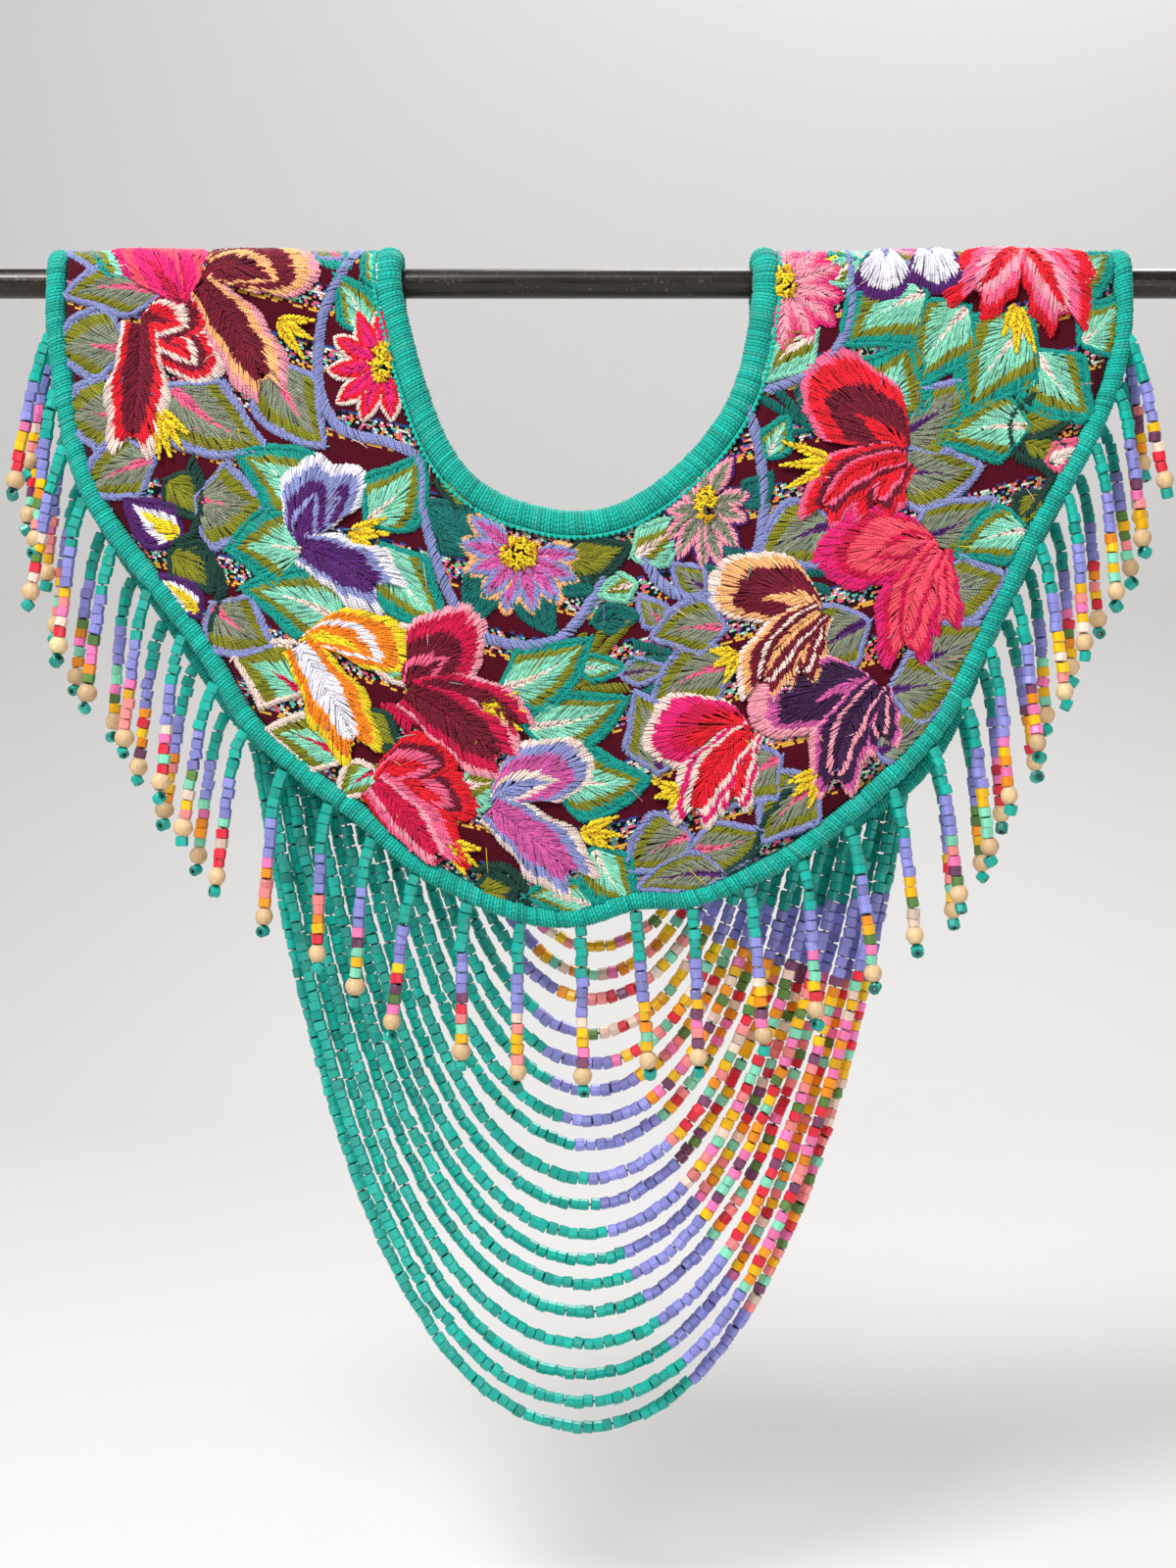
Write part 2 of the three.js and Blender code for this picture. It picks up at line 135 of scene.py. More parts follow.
class Glass(Enum):
    """Colours of the beads."""

    TEAL = linear(16, 168, 152)
    LAVENDER = linear(138, 138, 208)
    SALMON = linear(250, 140, 138)
    HOT_PINK = linear(246, 120, 178)
    ORANGE = linear(245, 145, 20)
    YELLOW = linear(250, 190, 10)
    RED = linear(225, 40, 60)
    MINT = linear(130, 215, 180)
    OLIVE = linear(92, 132, 60)
    PLUM = linear(120, 65, 100)
    CREAM = linear(245, 215, 195)


WOOD_COLOUR = linear(240, 208, 162)
MIXED_GLASS = (
    Glass.SALMON, Glass.SALMON, Glass.HOT_PINK, Glass.HOT_PINK, Glass.ORANGE, Glass.ORANGE, Glass.YELLOW,
    Glass.YELLOW, Glass.YELLOW, Glass.RED, Glass.RED, Glass.MINT, Glass.MINT, Glass.OLIVE, Glass.PLUM,
    Glass.CREAM,
)


# ---- finishes


class Graph:
    """Adds and links the nodes of one material."""

    def __init__(self, name: str) -> None:
        """Starts a material with a Principled shader and its output.

        Args:
            name: The material's name.
        """
        self.material = bpy.data.materials.new(name)
        self.material.use_nodes = True
        self.tree = self.material.node_tree
        self.tree.nodes.clear()
        output = self.tree.nodes.new("ShaderNodeOutputMaterial")
        self.shader = self.tree.nodes.new("ShaderNodeBsdfPrincipled")
        self.tree.links.new(self.shader.outputs[0], output.inputs[0])

    def node(self, kind: str, inputs: dict | None = None, **settings) -> Node:
        """Adds a node.

        Args:
            kind: The node's type without "ShaderNode".
            inputs: Values or sockets by input name or number.
            **settings: Properties of the node.

        Returns:
            The new node.
        """
        made = self.tree.nodes.new("ShaderNode" + kind)
        for key, value in settings.items():
            setattr(made, key, value)
        for key, value in (inputs or {}).items():
            self.feed(made.inputs[key], value)
        return made

    def feed(self, socket: NodeSocket, value: object) -> None:
        """Links a socket to an input, or sets the input's own value.

        Args:
            socket: The input.
            value: A socket or a value.
        """
        if isinstance(value, NodeSocket):
            self.tree.links.new(value, socket)
        else:
            socket.default_value = value

    def math(self, operation: str, *values: object) -> NodeSocket:
        """The result of a Math node on values or sockets."""
        made = self.node("Math", dict(enumerate(values)), operation=operation)
        return made.outputs[0]

    def noise(self, scale: float, detail: float = 2.0, vector: object = None) -> NodeSocket:
        """Noise from 0 to 1 in the object's own coordinates, or in a given vector."""
        place = vector if vector is not None else self.node("TexCoord").outputs["Object"]
        return self.node("TexNoise", {"Vector": place, "Scale": scale, "Detail": detail}).outputs["Fac"]

    def blend(self, share: object, first: object, second: object, mode: str = "MIX") -> NodeSocket:
        """A colour between two, by a share.

        Args:
            share: The second colour's share.
            first: The first colour.
            second: The second colour.
            mode: The blend type.

        Returns:
            The mixed colour's socket.
        """
        made = self.node("Mix", data_type="RGBA", blend_type=mode)
        colours = [c if isinstance(c, NodeSocket) else (*c, 1.0) for c in (first, second)]
        self.feed(made.inputs[0], share)
        self.feed(made.inputs[6], colours[0])
        self.feed(made.inputs[7], colours[1])
        return made.outputs[2]

    def dye(self) -> NodeSocket:
        """The colour that each vertex of the mesh carries."""
        return self.node("Attribute", attribute_name="dye").outputs["Color"]

    def shaded(self, colour: object, shade: object) -> NodeSocket:
        """A colour made lighter or darker by a factor."""
        grey = self.node("CombineColor", {0: shade, 1: shade, 2: shade}).outputs[0]
        return self.blend(1.0, colour, grey, "MULTIPLY")

    def spread(self, value: object, low: float, high: float) -> NodeSocket:
        """A value of 0 to 1 spread between two others."""
        return self.node("MapRange", {0: value, 3: low, 4: high}).outputs[0]

    def set(self, **inputs: object) -> None:
        """Sets or links inputs of the shader.

        Args:
            **inputs: Values or sockets by the input's name in lower case with underscores.
        """
        names = {socket.name.lower().replace(" ", "_"): socket for socket in self.shader.inputs}
        for name, value in inputs.items():
            self.feed(names[name], value)

    def bump(self, height: object, distance: float, strength: float, below: object = None) -> object:
        """A bump of a height in metres, on top of another one."""
        inputs = {"Height": height, "Distance": distance, "Strength": strength, "Normal": below}
        return self.node("Bump", {k: v for k, v in inputs.items() if v is not None}).outputs[0]


@dataclass(frozen=True)
class ThreadFinish:
    """Plied thread or yarn: its dye, a fine twist along it and a soft sheen."""

    name: str
    roughness: float = 0.62
    sheen: float = 0.08
    twist: float = 5.2
    depth: float = 0.0002
    # Painted shade: the colour factor at a thread's edges; its crest gets 1.12.
    painted_edge_shade: float = 0.26

    def material(self) -> Material:
        """Makes the material.

        Returns:
            The finish, which reads the dye and the lie of each thread.
        """
        g = Graph(self.name)
        lie = g.node("Attribute", attribute_name="lie").outputs["Vector"]
        along, across, draw = g.node("SeparateXYZ", {0: lie}).outputs
        fibres = g.noise(900.0, 3.0)
        patches = g.noise(55.0, 2.0)
        shade = g.math("MULTIPLY", g.spread(fibres, 0.66, 1.34), g.spread(patches, 0.86, 1.14))
        # Painted shade of a round thread: a little lighter on its crest, darker towards its edges.
        rim = g.math("POWER", g.math("ABSOLUTE", across), 1.6)
        shade = g.math("MULTIPLY", shade, g.spread(rim, 1.12, self.painted_edge_shade))
        ply = g.math("ADD", g.math("MULTIPLY", along, self.twist), g.math("MULTIPLY", across, 2.1))
        ridge = g.math("SINE", g.math("ADD", ply, g.math("MULTIPLY", draw, 6.28)))
        coarse = g.bump(ridge, self.depth, 0.55)
        fine = g.bump(fibres, self.depth, 0.5, coarse)
        g.set(base_color=g.shaded(g.dye(), shade), normal=fine, roughness=self.roughness)
        g.set(sheen_weight=self.sheen, sheen_roughness=0.45, specular_ior_level=0.25)
        return g.material


@dataclass(frozen=True)
class GlassFinish:
    """Opaque glass beads with a satin surface."""

    name: str = "satin glass"
    gloss: tuple[float, float] = (0.22, 0.42)

    def material(self) -> Material:
        """Makes the material.

        Returns:
            The finish, which reads each bead's colour.
        """
        g = Graph(self.name)
        shade = g.spread(g.noise(420.0, 3.0), 0.84, 1.14)
        g.set(base_color=g.shaded(g.dye(), shade), roughness=g.spread(g.noise(260.0), *self.gloss))
        g.set(normal=g.bump(g.noise(700.0, 4.0), 0.0001, 0.35), specular_ior_level=0.5)
        return g.material


@dataclass(frozen=True)
class WoodFinish:
    """Pale turned wood with a fine grain along the bead's hole."""

    name: str = "turned wood"

    def material(self) -> Material:
        """Makes the material.

        Returns:
            The finish, which reads each bead's colour.
        """
        g = Graph(self.name)
        place = g.node("TexCoord").outputs["Object"]
        turned = g.node("Mapping", {"Vector": place, "Scale": (1.0, 1.0, 0.22)}).outputs[0]
        grain = g.noise(1500.0, 4.0, turned)
        brown = g.blend(g.spread(grain, -0.15, 0.85), g.dye(), linear(176, 128, 78))
        g.set(base_color=brown, roughness=g.spread(grain, 0.38, 0.6), specular_ior_level=0.4)
        g.set(normal=g.bump(grain, 0.0001, 0.4))
        return g.material


@dataclass(frozen=True)
class SteelFinish:
    """A steel rod under worn dark paint."""

    name: str = "dark painted steel"

    def material(self) -> Material:
        """Makes the material.

        Returns:
            The finish.
        """
        g = Graph(self.name)
        place = g.node("TexCoord").outputs["Object"]
        drawn = g.node("Mapping", {"Vector": place, "Scale": (0.12, 1.0, 1.0)}).outputs[0]
        streaks = g.noise(420.0, 4.0, drawn)
        specks = g.noise(900.0, 3.0)
        worn = g.math("GREATER_THAN", g.math("MULTIPLY", specks, g.spread(streaks, 0.7, 1.25)), 0.66)
        paint = g.blend(streaks, linear(18, 14, 12), linear(50, 40, 34))
        g.set(base_color=g.blend(worn, paint, linear(98, 80, 64)), metallic=0.25)
        g.set(roughness=g.spread(streaks, 0.2, 0.42), normal=g.bump(specks, 0.00015, 0.35))
        return g.material


@dataclass(frozen=True)
class GroundFinish:
    """The hand-woven ground: wine-red cloth with narrow bands of many-coloured pick-up rows."""

    name: str = "woven ground"
    row: float = 1.1
    period: float = 22.0
    shift: float = -5.3
    cell: float = 1.25
    droop: float = -0.26

    def material(self) -> Material:
        """Makes the material.

        Returns:
            The finish, in the cloth's own coordinates.
        """
        g = Graph(self.name)
        place = g.node("SeparateXYZ", {0: g.node("TexCoord").outputs["Object"]})
        x = g.math("MULTIPLY", place.outputs[0], 1 / MM)
        z = g.math("MULTIPLY", place.outputs[2], 1 / MM)
        wander = g.spread(g.noise(9.0, 1.0), self.shift - 2.0, self.shift + 2.0)
        level = g.math("ADD", g.math("MULTIPLY_ADD", g.math("ABSOLUTE", x), self.droop, z), wander)
        rows = g.math("DIVIDE", level, self.row)
        number = g.math("FLOOR", rows)
        turn = g.math("DIVIDE", g.math("FLOORED_MODULO", number, self.period), self.period)
        wine, black = linear(84, 8, 28), linear(18, 16, 22)
        lines = self.ramp(g, turn, (
            (0.0, linear(236, 180, 70)), (0.05, black), (0.42, linear(44, 78, 150)),
            (0.46, linear(226, 130, 60)), (0.5, wine), (0.77, linear(190, 60, 60)), (0.81, wine),
        ))
        offset = g.math("MULTIPLY", g.math("FLOORED_MODULO", number, 2.0), 0.5)
        cells = g.math("FLOOR", g.math("ADD", g.math("DIVIDE", x, self.cell), offset))
        where = g.node("CombineXYZ", {0: cells, 1: number}).outputs[0]
        draw = g.node("TexWhiteNoise", {"Vector": where}, noise_dimensions="2D").outputs["Value"]
        dots = self.ramp(g, draw, (
            (0.0, black), (0.42, linear(228, 96, 130)), (0.58, linear(226, 224, 214)),
            (0.74, linear(110, 196, 160)), (0.86, linear(236, 140, 60)), (0.93, linear(70, 96, 170)),
        ))
        in_tweed = g.math("MULTIPLY", g.math("GREATER_THAN", turn, 0.05), g.math("LESS_THAN", turn, 0.42))
        broken = g.blend(g.math("GREATER_THAN", draw, 0.55), lines, wine)
        dotted = g.blend(in_tweed, broken, dots)
        # The weave's ridges: a bump, and painted shade that darkens the dips between threads.
        across = g.math("SINE", g.math("MULTIPLY", rows, 2 * math.pi))
        along = g.math("SINE", g.math("MULTIPLY", x, 2 * math.pi / self.cell))
        weave_shade_and_bump = g.math("ADD", g.math("MULTIPLY", across, 0.6), g.math("MULTIPLY", along, 0.4))
        # Painted shade from the weave, with random fibre tone from the noise.
        shade = g.spread(g.math("ADD", weave_shade_and_bump, g.noise(1200.0, 2.0)), 0.62, 1.12)
        g.set(base_color=g.shaded(dotted, shade), normal=g.bump(weave_shade_and_bump, 0.0003, 0.7))
        g.set(roughness=0.9, sheen_weight=0.05, specular_ior_level=0.1)
        return g.material

    @staticmethod
    def ramp(g: Graph, value: object, stops: Sequence[tuple[float, Colour]]) -> NodeSocket:
        """A stepped colour ramp.

        Args:
            g: The graph that it joins.
            value: What it reads, from 0 to 1.
            stops: Where each colour starts.

        Returns:
            The colour's socket.
        """
        made = g.node("ValToRGB", {0: value})
        made.color_ramp.interpolation = "CONSTANT"
        elements = made.color_ramp.elements
        while len(elements) < len(stops):
            elements.new(0.5)
        for element, (position, colour) in zip(elements, stops):
            element.position = position
            element.color = (*colour, 1.0)
        return made.outputs[0]


@dataclass(frozen=True)
class FloorFinish:
    """A plain pale studio floor."""

    name: str = "pale floor"

    def material(self) -> Material:
        """Makes the material.

        Returns:
            The finish.
        """
        g = Graph(self.name)
        cloud = g.noise(1.2, 2.0)
        g.set(base_color=g.blend(cloud, (0.62, 0.61, 0.6), (0.66, 0.65, 0.64)), roughness=0.85)
        return g.material


# ---- meshes


@dataclass
class MeshBatch:
    """Vertices and four-sided faces with a dye and a lie each, gathered for one piece."""

    points: list[Array] = field(default_factory=list)
    faces: list[Faces] = field(default_factory=list)
    dyes: list[Array] = field(default_factory=list)
    lies: list[Array] = field(default_factory=list)
    slots: list[Faces] = field(default_factory=list)
    count: int = 0

    def add(self, points: Array, faces: Faces, dyes: Array, lies: Array | None = None, slot: int = 0) -> None:
        """Adds a mesh.

        Args:
            points: Its vertices, in metres.
            faces: Four vertex numbers for each face.
            dyes: A linear colour for each vertex, or one for all.
            lies: For each vertex the distance along its thread, the place across it and a random draw.
            slot: The material's number.
        """
        self.points.append(points)
        self.faces.append(faces + self.count)
        self.dyes.append(np.broadcast_to(dyes, (len(points), 3)))
        self.lies.append(np.zeros((len(points), 3)) if lies is None else lies)
        self.slots.append(np.full(len(faces), slot))
        self.count += len(points)

    def build(self, name: str, *materials: Material) -> Object:
        """Makes the object.

        Args:
            name: The piece's name.
            *materials: Its materials, by slot number.

        Returns:
            The linked object, which rides on the root.
        """
        faces = np.concatenate(self.faces).astype(np.int32)
        points = np.concatenate(self.points).astype(np.float32)
        mesh = bpy.data.meshes.new(name)
        mesh.vertices.add(len(points))
        mesh.vertices.foreach_set("co", points.ravel())
        mesh.loops.add(faces.size)
        mesh.loops.foreach_set("vertex_index", faces.ravel())
        mesh.polygons.add(len(faces))
        mesh.polygons.foreach_set("loop_start", np.arange(0, faces.size, 4, dtype=np.int32))
        mesh.polygons.foreach_set("material_index", np.concatenate(self.slots).astype(np.int32))
        dyes = np.ones((len(points), 4), np.float32)
        dyes[:, :3] = np.concatenate(self.dyes)
        mesh.attributes.new("dye", "FLOAT_COLOR", "POINT").data.foreach_set("color", dyes.ravel())
        lies = np.concatenate(self.lies).astype(np.float32)
        mesh.attributes.new("lie", "FLOAT_VECTOR", "POINT").data.foreach_set("vector", lies.ravel())
        mesh.update(calc_edges=True)
        mesh.validate()
        mesh.shade_smooth()
        for material in materials:
            mesh.materials.append(material)
        made = bpy.data.objects.new(name, mesh)
        bpy.context.scene.collection.objects.link(made)
        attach(made, "root")
        log.info("%s: %d triangles", name, 2 * len(faces))
        return made


def grid_faces(rows: int, columns: int, round_rows: bool, round_columns: bool) -> Faces:
    """Faces of a grid of vertices, row after row.

    Args:
        rows: The number of rows.
        columns: The number of vertices in a row.
        round_rows: Whether the last row joins the first.
        round_columns: Whether a row's last vertex joins its first.

    Returns:
        Four vertex numbers for each face.
    """
    i, j = np.meshgrid(
        np.arange(rows if round_rows else rows - 1),
        np.arange(columns if round_columns else columns - 1),
        indexing="ij",
    )
    i, j = i.ravel(), j.ravel()
    k, m = (i + 1) % rows, (j + 1) % columns
    return np.stack([i * columns + j, i * columns + m, k * columns + m, k * columns + j], axis=1)


# ---- the cloth's plane


def unit(vectors: Array) -> Array:
    """The vectors at a length of 1."""
    return vectors / np.maximum(np.linalg.norm(vectors, axis=-1, keepdims=True), TINY)


def reach_along(points: Array) -> Array:
    """The distance from the first point to each, along the line through them."""
    return np.concatenate([[0.0], np.cumsum(np.linalg.norm(np.diff(points, axis=0), axis=1))])


def read(places: Array | float, reach: Array, rows: Array) -> Array:
    """Rows of numbers that belong to distances, read at places between them."""
    return np.stack([np.interp(places, reach, column) for column in rows.T], axis=-1)


def circle(count: int) -> Array:
    """Evenly spaced angles round a full turn."""
    return 2 * np.pi * np.arange(count) / count


def compass(angles: Array) -> Array:
    """Unit vectors at angles."""
    return np.stack([np.cos(angles), np.sin(angles)], axis=-1)


class ClothLine:
    """A line on the flat cloth, read by the distance along it."""

    def __init__(self, points: Array, closed: bool = False) -> None:
        """Measures a line.

        Args:
            points: The points that it runs through.
            closed: Whether it joins up.
        """
        self.points = points
        self.closed = closed
        self.run = np.vstack([points, points[:1]]) if closed else points
        self.reach = reach_along(self.run)
        if closed:
            along = np.roll(points, -1, axis=0) - np.roll(points, 1, axis=0)
            along = np.vstack([along, along[:1]])
        else:
            along = np.gradient(points, axis=0)
            along[0], along[-1] = (0.0, 1.0), (0.0, -1.0)
        along = unit(along)
        self.normals = np.stack([-along[:, 1], along[:, 0]], axis=1)

    @property
    def length(self) -> float:
        """The whole length."""
        return float(self.reach[-1])

    def at(self, distances: Array | float) -> tuple[Array, Array]:
        """Points and outward normals.

        Args:
            distances: Distances along the line.

        Returns:
            The points and their unit normals.
        """
        wanted = np.mod(distances, self.length) if self.closed else np.asarray(distances, float)
        return read(wanted, self.reach, self.run), unit(read(wanted, self.reach, self.normals))

    def moved(self, distance: float) -> "ClothLine":
        """The same line moved outwards."""
        normals = self.normals[:-1] if self.closed else self.normals
        return ClothLine(self.points + normals * distance, self.closed)

    def under(self, x: float) -> float:
        """The distance along the line to its lower stretch's point at x."""
        low = self.points[:, 1] > self.points[:, 1].max() / 2
        return float(self.reach[np.argmin(np.where(low, np.abs(self.points[:, 0] - x), np.inf))])


def smooth_line(rows: Rows, fine: int = 300) -> ClothLine:
    """A smooth line through rows of (x, down) that meets the rod's level upright at both ends.

    Args:
        rows: The rows that it passes.
        fine: The number of steps.

    Returns:
        The line.
    """
    knots = np.array([(rows[1][0], -rows[1][1]), *rows, (rows[-2][0], -rows[-2][1])], float)
    spans = len(knots) - 1
    place = np.linspace(1.0, spans - 1.0, fine + 1)
    i = np.minimum(place.astype(int), spans - 1)
    t = (place - i)[:, None]
    p0, p1, p2, p3 = (knots[np.clip(i + step, 0, spans)] for step in (-1, 0, 1, 2))
    v0, v1 = (p2 - p0) / 2, (p3 - p1) / 2
    points = (2 * p1 - 2 * p2 + v0 + v1) * t**3 + (-3 * p1 + 3 * p2 - 2 * v0 - v1) * t**2 + v0 * t + p1
    return ClothLine(points)


def smoothstep(value: Array | float) -> Array:
    """A smooth rise from 0 to 1."""
    t = np.clip(value, 0.0, 1.0)
    return t * t * (3 - 2 * t)


def back_neck_rows(wider: float = 0.06, deeper: float = 0.04, full: float = 40.0) -> Rows:
    """The neck rows of the back: as the front's at the rod, and a little wider and deeper below it."""
    shares = [float(smoothstep(down / full)) for _, down in NECK_OUTLINE]
    return tuple((x * (1 + wider * s), down * (1 + deeper * s)) for (x, down), s in zip(NECK_OUTLINE, shares))


@dataclass(frozen=True)
class Crease:
    """A soft trough or ridge of the hanging cloth."""

    x: float
    down: float
    heading: float
    length: float
    width: float
    depth: float


@dataclass(frozen=True)
class Drape:
    """How the flat cloth hangs over the rod."""

    inner_radius: float = ROD_RADIUS + SEAM_GAP
    swell_depth: float = 3.2
    swell_wave: float = 176.0
    swell_shift: float = 30.0
    swell_start: float = 10.0
    swell_full: float = 120.0
    crease_full: float = 40.0
    creases: tuple[Crease, ...] = (
        Crease(-186, 92, 78, 120, 15, -1.1),
        Crease(-112, 176, 52, 110, 12, 0.9),
        Crease(-30, 186, 20, 90, 11, -0.8),
        Crease(62, 204, -28, 105, 13, 0.9),
        Crease(138, 122, -62, 130, 14, -1.0),
        Crease(196, 62, -80, 90, 12, 0.8),
    )

    @property
    def quarter(self) -> float:
        """The cloth's length from the crown of the fold to the level of the rod's axis."""
        return (self.inner_radius + CLOTH_LIFT + CLOTH_THICK / 2) * math.pi / 2

    def swell(self, x: Array, down: Array) -> Array:
        """How far the hanging cloth stands outwards.

        Args:
            x: Places across the cape.
            down: Places down from the rod's axis.

        Returns:
            Millimetres for each place.
        """
        grown = smoothstep((down - self.swell_start) / (self.swell_full - self.swell_start))
        wave = 0.5 - 0.5 * np.cos(2 * np.pi * (x - self.swell_shift) / self.swell_wave)
        stood = self.swell_depth * grown * wave
        fade = smoothstep(down / self.crease_full)
        for crease in self.creases:
            turn = math.radians(crease.heading)
            dx, dv = x - crease.x, down - crease.down
            along = dx * math.cos(turn) + dv * math.sin(turn)
            across = dv * math.cos(turn) - dx * math.sin(turn)
            bell = np.exp(-((across / crease.width) ** 2) - (2 * along / crease.length) ** 4)
            stood = stood + crease.depth * bell * fade
        return stood

    def place(self, side: Array | float, x: Array, down: Array, height: Array | float) -> Array:
        """Places on the front or the back.

        Args:
            side: -1 on the front and 1 on the back.
            x: Places across the cape.
            down: Places down from the rod's axis; below zero is on the bend.
            height: Heights off the rolls' inner side.

        Returns:
            Points in metres.
        """
        radius = self.inner_radius + height
        turn = np.pi / 2 * (1 + down / self.quarter)
        hangs = down >= 0
        y = side * np.where(hangs, radius + self.swell(x, down), radius * np.sin(turn))
        z = np.where(hangs, -down, radius * np.cos(turn))
        return np.stack(np.broadcast_arrays(x, y, z), axis=-1) * MM

    def over(self, spots: Array, height: Array | float) -> Array:
        """Places on the whole cloth.

        Args:
            spots: Places (x, v) on the flat cloth.
            height: Heights off the rolls' inner side.

        Returns:
            Points in metres.
        """
        front = spots[..., 1] >= -self.quarter
        down = np.where(front, spots[..., 1], -2 * self.quarter - spots[..., 1])
        return self.place(np.where(front, -1.0, 1.0), spots[..., 0], down, height)


@dataclass
class Pattern:
    """The cape's cut: its lines on the flat cloth."""

    drape: Drape = field(default_factory=Drape)
    neck_width: float = 11.0
    neck_thick: float = 8.4
    edge_width: float = 8.5
    edge_thick: float = 7.6

    def __post_init__(self) -> None:
        """Draws the lines."""
        self.front_outer = smooth_line(FRONT_OUTLINE)
        self.back_outer = smooth_line(BACK_OUTLINE)
        self.front_neck = smooth_line(NECK_OUTLINE)
        self.back_neck = smooth_line(back_neck_rows())
        self.front_edge = self.front_outer.moved(-self.edge_width / 2)
        self.back_edge = self.back_outer.moved(-self.edge_width / 2)
        self.outer_ring = self.ring(self.front_outer, self.back_outer)
        self.neck_ring = self.ring(self.front_neck, self.back_neck)

    def ring(self, front: ClothLine, back: ClothLine) -> ClothLine:
        """The closed line down the front, over the rod, round the back and over the rod again.

        Args:
            front: The front's line.
            back: The back's line.

        Returns:
            The closed line.
        """
        level = -2 * self.drape.quarter
        steps = np.linspace(0.0, 1.0, 9)[1:-1, None]
        over = back.points * (1.0, -1.0) + (0.0, level)
        right = front.points[-1] + (over[-1] - front.points[-1]) * steps
        left = over[0] + (front.points[0] - over[0]) * steps
        return ClothLine(np.vstack([front.points, right, over[::-1], left]), closed=True)

    def turned(self, spot: Spot) -> Spot:
        """The place of the back that a turn of the flat cloth brings under a place of the front."""
        return -spot[0], -2 * self.drape.quarter - spot[1]


class Stencil:
    """Marks on the flat cloth, one for each square millimetre."""

    WEST = -245
    NORTH = -330
    SHAPE = (640, 490)

    def __init__(self) -> None:
        """Starts with no marks."""
        self.marks = np.zeros(self.SHAPE, bool)

    def inside(self, outline: Array) -> NDArray[np.bool_]:
        """Finds the marks that a closed outline holds.

        Args:
            outline: The outline.

        Returns:
            The marks as an array of the stencil's shape.
        """
        marks = np.zeros(self.SHAPE, bool)
        a, b = outline - (self.WEST, self.NORTH), np.roll(outline, -1, axis=0) - (self.WEST, self.NORTH)
        top, bottom = int(max(a[:, 1].min(), 0)), int(min(a[:, 1].max() + 1, self.SHAPE[0] - 1))
        for row in range(top, bottom + 1):
            level = row + 0.5
            hit = (a[:, 1] <= level) != (b[:, 1] <= level)
            p, q = a[hit], b[hit]
            cuts = np.sort(p[:, 0] + (level - p[:, 1]) / (q[:, 1] - p[:, 1]) * (q[:, 0] - p[:, 0]))
            for left, right in zip(cuts[::2], cuts[1::2]):
                marks[row, max(0, round(left)) : max(0, round(right))] = True
        return marks

    def add(self, outline: Array) -> None:
        """Marks what a closed outline holds."""
        self.marks |= self.inside(outline)

    def remove(self, outline: Array) -> None:
        """Clears what a closed outline holds."""
        self.marks &= ~self.inside(outline)

    def covers(self, spots: Array) -> NDArray[np.bool_]:
        """Tells which places are marked.

        Args:
            spots: The places.

        Returns:
            Whether each one is.
        """
        cells = np.floor(spots - (self.WEST, self.NORTH)).astype(int)
        known = (cells >= 0).all(axis=-1) & (cells[..., 1] < self.SHAPE[0]) & (cells[..., 0] < self.SHAPE[1])
        cells = np.where(known[..., None], cells, 0)
        return self.marks[cells[..., 1], cells[..., 0]] & known


# ---- embroidery


class Form(Enum):
    """Outlines of sewn petals and leaves."""

    LEAF = "pointed at both ends"
    SWOOSH = "a long petal that widens towards a blunt tip"
    LOBE = "a broad fan"
    RAY = "a daisy's narrow petal"

    def half_width(self, u: Array) -> Array:
        """Half widths as shares of the greatest.

        Args:
            u: Places from the root at 0 to the tip at 1.

        Returns:
            The share for each place.
        """
        if self is Form.LEAF:
            widest = 0.34
            rise = smoothstep(u / widest) ** 0.8
            return rise * (1 - np.clip((u - widest) / (1 - widest), 0, 1) ** 1.5)
        if self is Form.LOBE:
            return np.sin(np.pi * u**1.45) ** 0.68
        start, foot, round_off = (0.55, 0.6, 0.58) if self is Form.SWOOSH else (0.5, 0.28, 0.85)
        cap = np.clip(1 - (np.maximum(u - start, 0) / (1 - start)) ** 2, 0, 1) ** round_off
        return (foot + (1 - foot) * smoothstep(u / start)) * cap


@dataclass(frozen=True)
class Blend:
    """Dyes from a shape's edge to its heart, each with the share of the way at which it ends."""

    bands: tuple[tuple[float, Dye], ...]

    def changed(self, swaps: dict[Dye, Dye]) -> "Blend":
        """The same bands with some dyes exchanged."""
        return Blend(tuple((share, swaps.get(dye, dye)) for share, dye in self.bands))


@dataclass(frozen=True)
class Petal:
    """One petal or lobe: its tip's place, its width, and its sideways bend as a share of its length."""

    tip: Spot
    width: float
    bend: float = 0.0


@dataclass(frozen=True)
class Blossom:
    """A flower seen from its side: lobes behind, long petals before them, and forked stamens."""

    root: Spot
    lobes: tuple[Petal, ...]
    petals: tuple[Petal, ...]
    lobe_blend: Blend
    petal_blend: Blend
    stamen_root: Spot | None = None
    stamens: tuple[Spot, ...] = ()


@dataclass(frozen=True)
class Daisy:
    """A flower seen from above: rays round a knotted centre."""

    centre: Spot
    knots: Spot
    rays: tuple[Spot, ...]
    width: float
    blend: Blend


@dataclass(frozen=True)
class Leaf:
    """A leaf from its root to its tip."""

    root: Spot
    tip: Spot
    width: float
    bend: float = 0.08


@dataclass(frozen=True)
class Line:
    """A satin-stitched line through places, with its half width."""

    knots: Rows
    half: float
    dye: Dye


@dataclass(frozen=True)
class Layer:
    """How high a kind of motif lies over the cloth, and how far it domes."""

    lift: float
    dome: float


def leaves(*rows: tuple[float, ...]) -> tuple[Leaf, ...]:
    """Leaves from rows of the root's place, the tip's place, the width and, where it is unusual, the bend."""
    return tuple(Leaf((x, v), (tip_x, tip_v), *size) for x, v, tip_x, tip_v, *size in rows)


def banded(chart: str) -> Blend:
    """The blend of a chart such as "20 teal, 100 mint": at which per cent of the way each dye ends."""
    bands = (band.rsplit(" ", 1) for band in chart.split(", "))
    return Blend(tuple((int(end) / 100, Dye[dye.upper()]) for end, dye in bands))


